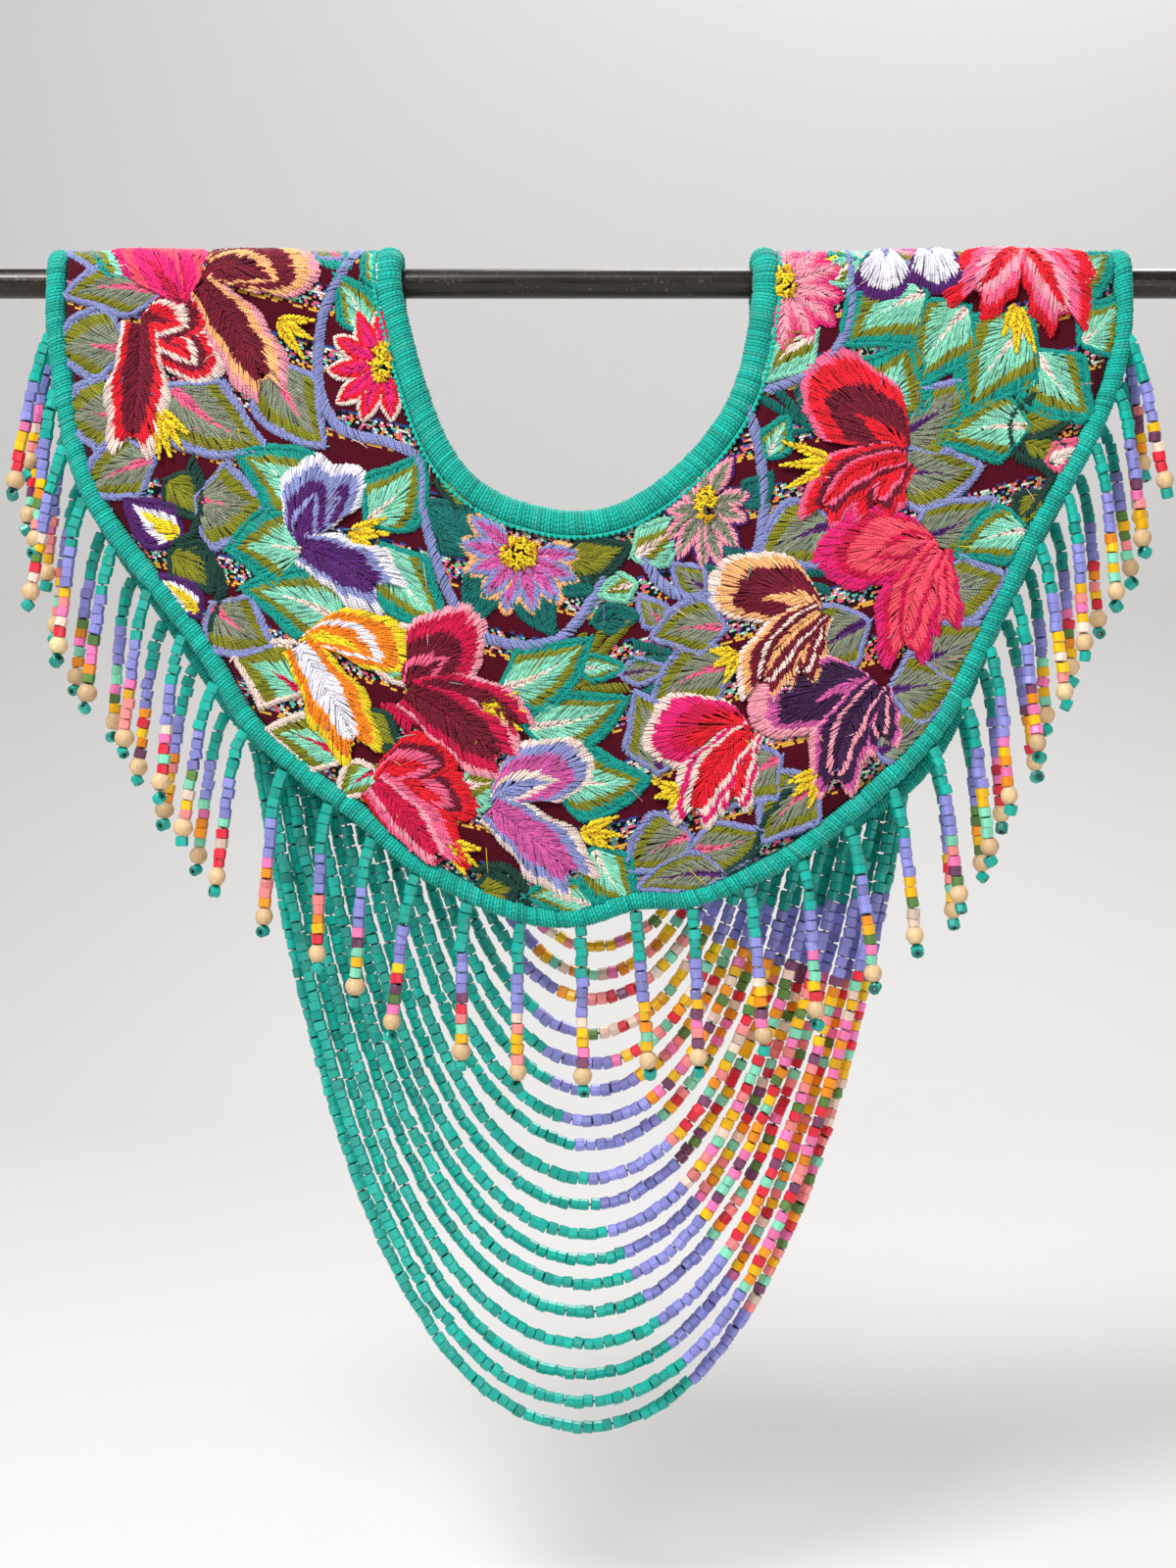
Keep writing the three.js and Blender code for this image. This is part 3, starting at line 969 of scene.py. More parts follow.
PEACH_LOBE = banded("10 pink, 26 peach, 48 burgundy, 60 peach, 100 burgundy")
PEACH_PETAL = banded("22 pink, 48 peach, 100 burgundy")
RED_LOBE = banded("14 cream, 28 red, 42 burgundy, 54 cream, 76 red, 100 burgundy")
RED_PETAL = banded("26 cream, 54 red, 100 burgundy")
CORAL_LOBE = banded("24 magenta, 46 coral, 78 magenta, 100 crimson")
PURPLE_LOBE = banded("16 white, 36 lavender, 58 purple, 68 lavender, 100 purple")
PURPLE_PETAL = banded("28 white, 46 lavender, 100 purple")
ORANGE_LOBE = banded("18 yellow, 40 orange, 56 white, 78 orange, 100 yellow")
ORANGE_PETAL = banded("22 yellow, 56 orange, 100 white")
CRIMSON_LOBE = banded("13 pink, 34 crimson, 60 burgundy, 72 rose, 100 burgundy")
CRIMSON_PETAL = banded("17 pink, 46 crimson, 100 burgundy")
SCARLET_LOBE = banded("26 red, 40 burgundy, 60 rose, 100 red")
SCARLET_PETAL = banded("24 red, 52 rose, 66 pink, 100 crimson")
LILAC_LOBE = banded("12 cream, 30 lavender, 56 lilac, 70 cream, 100 lavender")
LILAC_PETAL = banded("20 cream, 46 lavender, 100 lilac")
WHITE_LOBE = banded("26 purple, 80 white, 100 lavender")
ROSE_LOBE = banded("30 red, 55 rose, 80 pink, 100 red")
WINE_LOBE = banded("10 rose, 34 red, 74 burgundy, 100 red")
WINE_PETAL = banded("16 rose, 40 red, 60 burgundy, 72 rose, 100 red")
FUCHSIA_LOBE = banded("20 magenta, 34 crimson, 62 coral, 74 crimson, 100 coral")
FUCHSIA_PETAL = banded("20 magenta, 34 crimson, 60 coral, 74 crimson, 100 coral")
MAROON_LOBE = banded("10 cream, 28 peach, 72 burgundy, 100 peach")
MAROON_PETAL = banded("14 cream, 30 peach, 52 burgundy, 64 cream, 86 burgundy, 100 peach")
PLUM_LOBE = banded("18 pink, 30 lilac, 80 plum, 100 lilac")
PLUM_PETAL = banded("16 pink, 28 lilac, 54 plum, 68 pink, 100 plum")
CHERRY_LOBE = banded("13 cream, 32 magenta, 52 crimson, 100 red")
CHERRY_PETAL = banded("18 cream, 36 magenta, 54 cream, 100 red")
DAISY_RED = banded("24 cream, 62 red, 100 magenta")
DAISY_LILAC = banded("26 peach, 60 lavender, 100 lilac")
DAISY_ROSE = banded("26 magenta, 60 rose, 100 pink")
DAISY_PURPLE = banded("22 purple, 60 pink, 100 grey_green")
TEAL_LEAF = banded("20 teal, 40 olive, 86 mint, 100 cream")
GREY_LEAF = banded("10 lavender, 36 olive, 84 grey_green, 100 purple")
ASH_LEAF = banded("10 lavender, 36 olive, 82 grey_green, 100 rose")
CREAM_LEAF = banded("10 cream, 42 olive, 84 mint, 100 crimson")
MINT_LEAF = banded("42 mint, 74 olive, 100 cream")
DARK_LEAF = banded("26 dark_green, 62 olive, 100 olive")
BUD = banded("34 purple, 60 white, 100 yellow")
PINK_BUD = banded("45 rose, 100 cream")
SHADE_LEAF = banded("50 deep_teal, 100 deep_teal")
STAMEN = banded("70 yellow, 100 gold")

# The flowers of the front; the back has them turned round, in other dyes.
BLOSSOMS = (
    Blossom(
        (-164, 14), (Petal((-198, -22), 22, 0.1), Petal((-162, -24), 20, -0.08)), (), CORAL_LOBE, CORAL_LOBE,
    ),
    Blossom(
        (-158, 3), (Petal((-112, 8), 25, -0.3), Petal((-122, -16), 20, -0.12)),
        (Petal((-126, 55), 23, -0.05),),
        PEACH_LOBE, PEACH_PETAL, (-127, 18), ((-110, 18), (-111, 26), (-115, 34)),
    ),
    Blossom(
        (-182, 18), (Petal((-153, 26), 24, -0.2), Petal((-151, 45), 20, -0.1)),
        (Petal((-187, 80), 24, -0.02),),
        RED_LOBE, RED_PETAL, (-176, 53), ((-174, 75), (-169, 75), (-164, 71), (-161, 65)),
    ),
    Blossom(
        (-117, 110), (Petal((-102, 74), 23, -0.12), Petal((-88, 79), 18, -0.1)),
        (Petal((-74, 136), 24, -0.06),),
        PURPLE_LOBE, PURPLE_PETAL, (-98, 105), ((-81, 98), (-79, 105), (-86, 111)),
    ),
    Blossom(
        (-118, 149), (Petal((-73, 163), 20, -0.24), Petal((-82, 147), 16, -0.1)),
        (Petal((-88, 202), 23, -0.02),),
        ORANGE_LOBE, ORANGE_PETAL,
    ),
    Blossom(
        (-74, 168), (Petal((-38, 150), 31, -0.2),),
        (Petal((-26, 205), 24, -0.04), Petal((-20, 190), 18, -0.12)),
        CRIMSON_LOBE, CRIMSON_PETAL, (-45, 175), ((-28, 169), (-24, 177), (-26, 185)),
    ),
    Blossom(
        (-87, 205), (Petal((-50, 200), 18, -0.2), Petal((-44, 221), 18, -0.12)),
        (Petal((-52, 250), 25, -0.04),),
        SCARLET_LOBE, SCARLET_PETAL, (-58, 230), ((-42, 233), (-44, 240), (-49, 244)),
    ),
    Blossom(
        (-40, 215), (Petal((5, 205), 24, -0.22),), (Petal((3, 254), 24, -0.04),),
        LILAC_LOBE, LILAC_PETAL, (-4, 226), ((13, 219), (15, 227), (11, 233)),
    ),
    Blossom((122, -14), (Petal((121, 13), 22, 0.05),), (), WHITE_LOBE, WHITE_LOBE),
    Blossom((139, -17), (Petal((142, 10), 22, -0.05),), (), WHITE_LOBE, WHITE_LOBE),
    Blossom(
        (177, -12), (Petal((205, 6), 18, -0.1),), (Petal((152, 20), 25, 0.1), Petal((196, 29), 23, -0.1)),
        ROSE_LOBE, ROSE_LOBE, (174, 10), ((168, 26), (174, 33), (182, 32)),
    ),
    Blossom(
        (130, 74), (Petal((82, 46), 33, 0.16),), (Petal((91, 107), 21, 0.2), Petal((116, 106), 21, 0.16)),
        WINE_LOBE, WINE_PETAL, (101, 76), ((78, 67), (77, 77), (79, 87)),
    ),
    Blossom(
        (143, 110), (Petal((95, 126), 30, 0.2),), (Petal((130, 165), 24, 0.12), Petal((148, 150), 17, 0.08)),
        FUCHSIA_LOBE, FUCHSIA_PETAL,
    ),
    Blossom(
        (95, 136), (Petal((50, 138), 26, 0.28),), (Petal((68, 179), 22, 0.14), Petal((88, 173), 18, 0.12)),
        MAROON_LOBE, MAROON_PETAL, (61, 153), ((48, 152), (50, 159), (55, 166)),
    ),
    Blossom(
        (118, 166), (Petal((69, 189), 27, 0.2),), (Petal((101, 218), 22, 0.14), Petal((122, 197), 17, 0.08)),
        PLUM_LOBE, PLUM_PETAL, (94, 201), ((80, 206), (82, 212), (89, 217)),
    ),
    Blossom(
        (67, 184), (Petal((26, 200), 27, 0.24),), (Petal((41, 230), 21, 0.12), Petal((60, 223), 17, 0.1)),
        CHERRY_LOBE, CHERRY_PETAL, (38, 209), ((25, 205), (26, 212), (32, 218)),
    ),
)

DAISIES = (
    Daisy(
        (-84, 35), (8, 16),
        ((-94, 12), (-104, 24), (-107, 38), (-103, 52), (-92, 60), (-80, 60), (-84, 11)),
        10, DAISY_RED,
    ),
    Daisy(
        (-28, 113), (15, 13),
        ((-54, 108), (-51, 121), (-44, 132), (-33, 139), (-21, 139), (-10, 134), (-2, 124), (-1, 112),
         (-50, 97)),
        12, DAISY_LILAC,
    ),
    Daisy(
        (80, 3), (8, 13),
        ((80, -22), (98, -16), (104, -3), (105, 9), (101, 21), (92, 28), (80, 33)),
        11, DAISY_ROSE,
    ),
    Daisy(
        (48, 93), (8, 15),
        ((60, 72), (68, 88), (66, 100), (62, 112), (54, 120), (46, 121), (36, 117), (29, 108), (30, 95),
         (36, 84), (48, 76)),
        10, DAISY_PURPLE,
    ),
)

LEAVES = {
    BUD: leaves((-165, 106, -188, 90, 17, -0.05), (-158, 138, -176, 122, 11)),
    PINK_BUD: leaves((186, 76, 202, 66, 11)),
    TEAL_LEAF: leaves(
        (-110, 96, -143, 72, 26), (-114, 112, -147, 111, 29), (-98, 142, -141, 127, 25),
        (-90, 100, -68, 73, 25), (-84, 109, -56, 143, 23), (-36, 168, 1, 147, 24), (-26, 183, 16, 171, 23),
        (-14, 203, 25, 204, 25), (2, 232, 21, 257, 21), (2, 256, -26, 252, 13), (138, 6, 104, 28, 32),
        (116, 54, 131, 26, 30), (155, 12, 133, 46, 29), (181, 18, 154, 57, 33), (182, 30, 206, 58, 27),
        (180, 61, 142, 68, 25), (179, 103, 149, 114, 21), (190, 4, 214, -12, 19), (200, 27, 218, 8, 22),
        (-90, 24, -103, 0, 15), (-84, 6, -92, -14, 11), (-182, 2, -210, -22, 17), (160, -4, 150, -24, 18),
        (112, -6, 98, -28, 17),
    ),
    GREY_LEAF: leaves(
        (124, 66, 155, 41, 25), (122, 78, 160, 77, 26), (130, 108, 165, 90, 23), (138, 127, 170, 121, 25),
        (100, 101, 69, 117, 25), (136, 156, 162, 141, 23), (122, 168, 152, 160, 25), (117, 194, 141, 175, 23),
        (29, 202, 19, 169, 22), (114, 140, 82, 165, 24), (56, 243, 20, 249, 15), (-12, 246, 14, 240, 12),
    ),
    ASH_LEAF: leaves(
        (-172, 6, -213, 8, 21), (-188, -5, -214, -12, 15), (-188, 30, -220, 30, 26), (-188, 57, -217, 58, 26),
        (-176, 74, -206, 90, 22), (-170, 44, -131, 69, 27), (-128, 34, -107, 69, 25),
        (-160, 90, -130, 92, 30), (-153, 133, -128, 150, 23), (56, 143, 26, 147, 20), (60, 157, 26, 173, 23),
        (78, 195, 55, 216, 24), (94, 205, 71, 230, 23), (42, 227, 16, 242, 22), (41, 233, 72, 225, 19),
        (-120, -6, -146, -26, 18),
    ),
    CREAM_LEAF: leaves(
        (-116, 169, -144, 155, 25), (-98, 196, -131, 185, 21), (-87, 159, -62, 141, 23),
        (-86, 201, -101, 212, 13), (-72, -2, -84, -26, 10),
    ),
    MINT_LEAF: leaves(
        (93, 22, 71, 43, 20), (-52, 207, -31, 203, 17), (18, 114, 39, 96, 16), (182, -2, 200, -18, 13),
        (98, 2, 110, -10, 9), (166, 136, 184, 108, 12),
    ),
    DARK_LEAF: leaves(
        (-172, 83, -157, 99, 17, -0.08), (-170, 112, -153, 128, 18, -0.08), (-46, 249, -28, 248, 15),
        (172, 56, 196, 58, 13), (176, 66, 200, 72, 11), (184, 88, 176, 104, 12), (-10, 115, 17, 109, 17),
        (-46, 94, -62, 84, 10), (98, 236, 114, 214, 12), (-90, 176, -76, 192, 13),
    ),
    SHADE_LEAF: leaves(
        (-34, 116, -47, 143, 15), (-24, 120, -14, 145, 15), (-14, 116, 2, 128, 12), (-46, 112, -67, 92, 15),
        (44, 104, 70, 120, 12), (62, 92, 74, 80, 10),
    ),
}

VINES = (
    Line(
        ((-90, -20), (-104, 6), (-109, 22), (-109, 46), (-100, 62), (-80, 68), (-68, 76), (-67, 94),
         (-62, 114), (-56, 130), (-48, 142), (-38, 148), (-24, 150), (-10, 146), (0, 134), (6, 122)),
        2.1, Dye.LAVENDER,
    ),
    Line(((106, -20), (107, 14), (100, 31), (88, 40), (72, 47)), 2.1, Dye.LAVENDER),
    Line(
        ((65, 54), (70, 72), (71, 99), (66, 118), (54, 128), (40, 130), (30, 125), (22, 114)),
        2.2, Dye.LAVENDER,
    ),
    Line(((182, 47), (172, 58), (174, 72), (184, 77), (188, 84), (178, 98)), 2.0, Dye.DARK_GREEN),
    Line(((82, 208), (71, 222), (67, 234), (54, 244)), 2.0, Dye.DARK_GREEN),
    Line(
        ((-162, 74), (-157, 88), (-160, 104), (-168, 108), (-156, 114), (-149, 126), (-154, 144)),
        2.4, Dye.DARK_GREEN,
    ),
    Line(((-48, 241), (-34, 240), (-26, 248), (-24, 256)), 1.8, Dye.DARK_GREEN),
)

SPRIGS = (
    (Dye.OLIVE, (-8, 168), ((-2, 145), (8, 141), (17, 140), (15, 158), (17, 167))),
    (Dye.OLIVE, (-62, 196), ((-87, 191), (-86, 200), (-68, 204))),
    (Dye.DEEP_TEAL, (44, 156), ((18, 149), (17, 156), (19, 163), (24, 169))),
    (Dye.DEEP_TEAL, (74, 121), ((104, 112), (104, 120), (98, 128))),
    (Dye.DEEP_TEAL, (91, 62), ((70, 49), (76, 45), (85, 45), (70, 66))),
    (Dye.DEEP_TEAL, (-48, 114), ((-66, 91), (-66, 101), (-64, 110))),
    (Dye.CRIMSON, (-84, 174), ((-72, 184), (-66, 178), (-62, 184))),
    (Dye.YELLOW, (108, -12), ((98, -6), (110, -2), (120, -8))),
)

BACK_SWAPS = {
    Dye.PEACH: Dye.LILAC, Dye.BURGUNDY: Dye.PURPLE, Dye.PURPLE: Dye.CRIMSON, Dye.RED: Dye.ORANGE,
    Dye.ORANGE: Dye.MAGENTA, Dye.MAGENTA: Dye.RED, Dye.CORAL: Dye.PEACH, Dye.PLUM: Dye.BURGUNDY,
    Dye.LILAC: Dye.CORAL,
}


@dataclass(frozen=True)
class Shape:
    """A sewn shape: its outline, and the place towards which the thread at each point of it runs."""

    edge: Array
    heart: Array


def curve_through(knots: Rows | Array, fine: int = 14) -> Array:
    """A smooth open curve through places.

    Args:
        knots: The places.
        fine: Steps between two of them.

    Returns:
        The curve's points.
    """
    rows = np.asarray(knots, float)
    rows = np.vstack([2 * rows[0] - rows[1], rows, 2 * rows[-1] - rows[-2]])
    t = np.linspace(0.0, 1.0, fine, endpoint=False)[:, None]
    spans = []
    for p0, p1, p2, p3 in zip(rows, rows[1:], rows[2:], rows[3:]):
        bend = (2 * p1, p2 - p0, 2 * p0 - 5 * p1 + 4 * p2 - p3, 3 * p1 - p0 - 3 * p2 + p3)
        spans.append((bend[0] + bend[1] * t + bend[2] * t**2 + bend[3] * t**3) / 2)
    return np.vstack([*spans, rows[-2:-1]])


def crossways(places: Array, reach: Array, points: Array, step: float) -> tuple[Array, Array]:
    """Where places on a line lie, and which way is square to it there.

    Args:
        places: Distances along the line.
        reach: The distance of each of its points.
        points: The points.
        step: How far ahead and behind the line's direction is read.

    Returns:
        The places and their unit normals.
    """
    run = unit(read(places + step, reach, points) - read(places - step, reach, points))
    return read(places, reach, points), np.stack([-run[:, 1], run[:, 0]], axis=-1)


def petal_shape(root: Spot, petal: Petal, form: Form, frill: float, notch: float, phase: float) -> Shape:
    """The outline of a petal or leaf along its bent middle line.

    Args:
        root: Its root.
        petal: Its tip, width and bend.
        form: Its outline.
        frill: How far its edge waves, as a share of its width.
        notch: How deep its tip is forked, as a share of its width.
        phase: Where the waves start.

    Returns:
        The shape.
    """
    start, tip = np.array(root, float), np.array(petal.tip, float)
    chord = tip - start
    size = float(np.linalg.norm(chord))
    side = np.array([-chord[1], chord[0]]) / size
    middle = (start + tip) / 2 + side * petal.bend * size * 2
    share = np.linspace(0.0, 1.0, 60)[:, None]
    spine = (1 - share) ** 2 * start + 2 * share * (1 - share) * middle + share**2 * tip
    reach = reach_along(spine)
    length, half = float(reach[-1]), petal.width / 2

    steps, waves, calm, cleft = 46, 2.75, 0.4, 0.05
    u = 1 - (1 - np.linspace(0.0, 1.0, steps)) ** 1.7
    wave = 1 + frill * np.sin(2 * waves * np.pi * u + phase) * smoothstep(u / calm)
    width = half * form.half_width(u) * wave
    u, width = np.concatenate([u, u[-2::-1]]), np.concatenate([width, width[-2::-1]])
    sign = np.where(np.arange(len(u)) < steps, 1.0, -1.0)
    along = u * length - notch * half * np.exp(-(((1 - u) / cleft) ** 2))

    point, normal = crossways(along, reach, spine, 1.0)
    edge = point + normal * (width * sign)[:, None]
    slant, tip_slant, to_root = {Form.LOBE: 1.7, Form.LEAF: 1.55}.get(form, 1.1), 1.15, 0.45
    pull = slant * width + half * tip_slant * smoothstep((u - 0.5) / 0.5)
    heart = read(np.clip(u * length - pull, 0.03 * length, length), reach, spine)
    if form is Form.LOBE:
        heart = heart + to_root * (start - heart)
    return Shape(edge, heart)


@dataclass
class Embroidery:
    """Sews motifs onto the flat cloth, the uppermost first, and lays them over the draped one.

    Neighbouring threads lie a pitch apart. The ends of stitches interlock by a tooth, sink by a dip and are
    narrower than their middles. Heights rise from a motif's edge within the rise, and fall into the groove
    at its heart. Each stitch bows, lies loosely and differs in tint a little.
    """

    pattern: Pattern
    thread: float = 1.36
    pitch: float = 0.8
    stitch: float = 3.7
    shortest: float = 0.8
    tooth: float = 1.7
    rise: float = 3.2
    groove: float = 0.55
    groove_reach: float = 1.3
    end_width: float = 0.76
    end_dip: float = 0.36
    side_dip: float = 0.12
    tucked: float = 1.5
    bow: float = 0.035
    loose: float = 0.05
    tint: float = 0.03

    STAMENS = Layer(2.1, 0.7)
    PETALS = Layer(1.15, 2.0)
    LOBES = Layer(0.65, 1.7)
    RAYS = Layer(0.6, 1.0)
    VINES = Layer(0.55, 1.0)
    OUTLINES = Layer(0.35, 0.95)
    LEAVES = Layer(0.25, 0.95)

    def __post_init__(self) -> None:
        """Prepares the cloth, which runs on a little way under the rolls."""
        self.draw = np.random.default_rng(SEED)
        self.cloth = Stencil()
        self.cloth.add(self.pattern.outer_ring.moved(-(self.pattern.edge_width - self.tucked)).points)
        self.cloth.remove(self.pattern.neck_ring.moved(self.pattern.neck_width - self.tucked).points)
        self.taken = Stencil()
        self.books: dict[str, list[tuple[Array, ...]]] = {}
        self.page = ""
        self.turn_over = False

    def spot(self, place: Spot) -> Spot:
        """A motif's place on the front, or the one under it after the cloth is turned round."""
        return self.pattern.turned(place) if self.turn_over else place

    def spots(self, places: Iterable[Spot]) -> Rows:
        """Several such places."""
        return tuple(self.spot(place) for place in places)

    def blend(self, blend: Blend) -> Blend:
        """A blend as it is on the front, or in the back's dyes."""
        return blend.changed(BACK_SWAPS) if self.turn_over else blend

    def sew(
        self, start: Array, end: Array, heights: Array, dye: Dye, width: float = 0.0, spread: float = 0.15
    ) -> None:
        """Adds straight stitches where there is cloth and nothing lies over them.

        Args:
            start: Their first ends.
            end: Their last ends.
            heights: Their heights over the cloth at the start, the middle and the end.
            dye: Their dye.
            width: Their width, or 0 for the usual thread.
            spread: How much they differ in shade.
        """
        start, end = start.copy(), end.copy()
        shorter = 0.25
        for here, there in ((start, end), (end, start)) * 4:
            off = ~self.cloth.covers(here)
            here[off] += (there[off] - here[off]) * shorter
        ends = (start, end, (start + end) / 2)
        on_cloth = np.logical_and.reduce([self.cloth.covers(spots) for spots in ends])
        hidden = np.logical_and.reduce([self.taken.covers(spots) for spots in ends])
        keep = on_cloth & ~hidden & (np.linalg.norm(end - start, axis=1) > self.shortest)
        count = len(start)
        shade = 1 + spread * self.draw.standard_normal((count, 1))
        shade = shade + self.tint * self.draw.standard_normal((count, 3))
        dyes = np.clip(np.array(dye.value) * np.clip(shade, 0.5, 1.4), 0, 1)
        widths = (width or self.thread) * self.draw.uniform(0.88, 1.14, count)
        bows = self.draw.normal(0, self.bow, count)
        chances = self.draw.uniform(0, 1, count)
        columns = (start, end, heights, dyes, widths, bows, chances)
        self.books.setdefault(self.page, []).append(tuple(column[keep] for column in columns))

    def fill(self, shape: Shape, blend: Blend, layer: Layer, lower: float = 0.0) -> None:
        """Covers a shape with rows of stitches from its edge towards its heart.

        Args:
            shape: The shape.
            blend: The dyes of its bands.
            layer: Its height and dome.
            lower: How far it lies under its neighbours of the same layer.
        """
        inwards = shape.heart - shape.edge
        depth = np.linalg.norm(inwards, axis=1)
        usual = float(np.median(depth))
        order = np.arange(len(depth))
        first = 0.0
        for last, dye in blend.bands:
            ring = shape.edge + inwards * (first + last) / 2
            step = np.diff(ring, axis=0)
            lie = inwards[1:] / np.maximum(depth[1:, None], 1e-6)
            beside = np.abs(step[:, 0] * lie[:, 1] - step[:, 1] * lie[:, 0])
            beside = np.maximum(beside, 0.3 * np.linalg.norm(step, axis=1))
            reach = np.concatenate([[0.0], np.cumsum(beside)])
            count = max(3, int(reach[-1] / self.pitch))
            place = (np.arange(count) + 0.5 + self.draw.uniform(-0.3, 0.3, count)) * reach[-1] / count
            index = np.interp(place, reach, order)
            edge, heart = (read(index, order, side) for side in (shape.edge, shape.heart))
            deep = np.interp(index, order, depth)
            tooth = min(0.5 * (last - first), self.tooth / usual)
            begin = first - self.draw.uniform(0, tooth, count) if first else self.draw.normal(0, 0.007, count)
            finish = np.clip(last + self.draw.uniform(-0.3, 1.0, count) * tooth, 0.05, 1.0)
            rows = max(1, round((last - first) * usual / self.stitch))
            cuts = [begin]
            for row in range(1, rows):
                cuts.append(begin + (finish - begin) * (row + self.draw.uniform(-0.35, 0.35, count)) / rows)
            cuts.append(finish)
            for a, b in zip(cuts, cuts[1:]):
                shares = np.clip(np.stack([a, (a + b) / 2, b], axis=1), 0, 1)
                rise = 1 - np.exp(-shares * deep[:, None] / self.rise)
                groove = self.groove * np.exp(-(1 - shares) * deep[:, None] / self.groove_reach)
                heights = layer.lift - lower + layer.dome * rise - groove
                heights = heights + self.draw.normal(0, self.loose, (count, 1))
                start, end = (edge + (heart - edge) * share[:, None] for share in (a, b))
                self.sew(start, end, heights, dye)
            first = last
        self.taken.add(shape.edge + inwards * min(0.3, 0.9 / usual))

    def ribbon(
        self, line: Line, layer: Layer, slant: float = 0.7, taper: float = 0.0, thread: float = 1.15
    ) -> None:
        """Sews a satin-stitched line.

        Args:
            line: Its places, half width and dye.
            layer: Its height and dome.
            slant: How far the stitches lean along it.
            taper: The share of its half width that it loses at its start.
            thread: The thread's width.
        """
        points = curve_through(line.knots)
        reach = reach_along(points)
        count = max(4, int(reach[-1] / (0.86 * thread)))
        place = (np.arange(count) + 0.5 + self.draw.uniform(-0.25, 0.25, count)) * reach[-1] / count
        middle, across = crossways(place, reach, points, 0.6)
        run = np.stack([across[:, 1], -across[:, 0]], axis=1)
        half = line.half * (1 - taper * (1 - smoothstep(place / reach[-1] * 1.6)))
        half = half * self.draw.uniform(0.9, 1.12, count)
        offset = (across + run * slant) * half[:, None]
        top = layer.lift + layer.dome * half / line.half
        heights = np.stack([np.full(count, layer.lift), top, np.full(count, layer.lift)], axis=1)
        self.sew(middle - offset, middle + offset, heights, line.dye, thread, 0.07)
        ahead = unit(np.gradient(points, axis=0))
        sides = np.stack([-ahead[:, 1], ahead[:, 0]], axis=1) * (line.half * 0.7)
        self.taken.add(np.vstack([points + sides, (points - sides)[::-1]]))

    def knots(self, centre: Spot, size: Spot, dye: Dye) -> None:
        """Sews a raised cluster of small knots.

        Args:
            centre: Its centre.
            size: Its width and length.
            dye: Its dye.
        """
        per_area, lowest, dome, thread = 0.3, 2.0, 1.2, 1.4
        count = int(size[0] * size[1] * per_area)
        turn, out = self.draw.uniform(0, 2 * np.pi, count), np.sqrt(self.draw.uniform(0, 1, count))
        place = np.array(centre) + compass(turn) * size / 2 * out[:, None]
        reach = compass(self.draw.uniform(0, np.pi, count)) * self.draw.uniform(1.1, 1.8, (count, 1))
        top = lowest + dome * (1 - out**2) + self.draw.uniform(-0.2, 0.3, count)
        heights = np.stack([top - dome / 2, top, top - dome / 2], axis=1)
        self.sew(place - reach, place + reach, heights, dye, thread, 0.08)
        self.taken.add(np.array(centre) + compass(circle(24)) * size * 0.4)

    def blossom(self, blossom: Blossom) -> None:
        """Sews a flower that is seen from its side.

        Args:
            blossom: The flower.
        """
        root = self.spot(blossom.root)
        for tip in blossom.stamens:
            stamen = Petal(self.spot(tip), 4.6)
            shape = petal_shape(self.spot(blossom.stamen_root), stamen, Form.LEAF, 0.0, 0.0, 0.0)
            self.fill(shape, STAMEN, self.STAMENS)
        kinds = (
            (blossom.petals, blossom.petal_blend, Form.SWOOSH, 1.1, 1.05, self.PETALS, 0.2),
            (blossom.lobes, blossom.lobe_blend, Form.LOBE, 1.12, 0.2, self.LOBES, 0.15),
        )
        for petals, blend, form, wider, notch, layer, lower in kinds:
            for number, petal in enumerate(petals):
                placed = Petal(self.spot(petal.tip), petal.width * wider, petal.bend)
                shape = petal_shape(root, placed, form, 0.09, notch, self.draw.uniform(0, 6))
                self.fill(shape, self.blend(blend), layer, lower * number)

    def daisy(self, daisy: Daisy) -> None:
        """Sews a flower that is seen from above.

        Args:
            daisy: The flower.
        """
        centre = np.array(self.spot(daisy.centre))
        self.knots(self.spot(daisy.centre), daisy.knots, Dye.YELLOW)
        self.knots(self.spot(daisy.centre), daisy.knots, Dye.GOLD)
        for number, tip in enumerate(self.spots(daisy.rays)):
            out = np.array(tip) - centre
            root = centre + out / np.linalg.norm(out) * min(daisy.knots) * 0.32
            placed = Petal(tip, daisy.width, self.draw.uniform(-0.06, 0.06))
            shape = petal_shape(tuple(root), placed, Form.RAY, 0.05, 0.1, self.draw.uniform(0, 6))
            self.fill(shape, self.blend(daisy.blend), self.RAYS, 0.12 * (number % 2))

    def leaf(self, root: Spot, petal: Petal, blend: Blend, phase: float, cord: float = 1.3) -> None:
        """Sews a leaf: a corded outline, then rows of stitches within it.

        Args:
            root: The leaf's root on the cloth.
            petal: Its tip, width and bend.
            blend: Its dyes, the outline's first.
            phase: Where the waves of its edge start.
            cord: The outline's half width.
        """
        shape = petal_shape(root, petal, Form.LEAF, 0.03, 0.0, phase)
        around = tuple(tuple(place) for place in shape.edge[::5])
        self.ribbon(Line(around, cord, blend.bands[0][1]), self.OUTLINES, 1.5, 0.0, 1.25)
        self.fill(shape, blend, self.LEAVES)

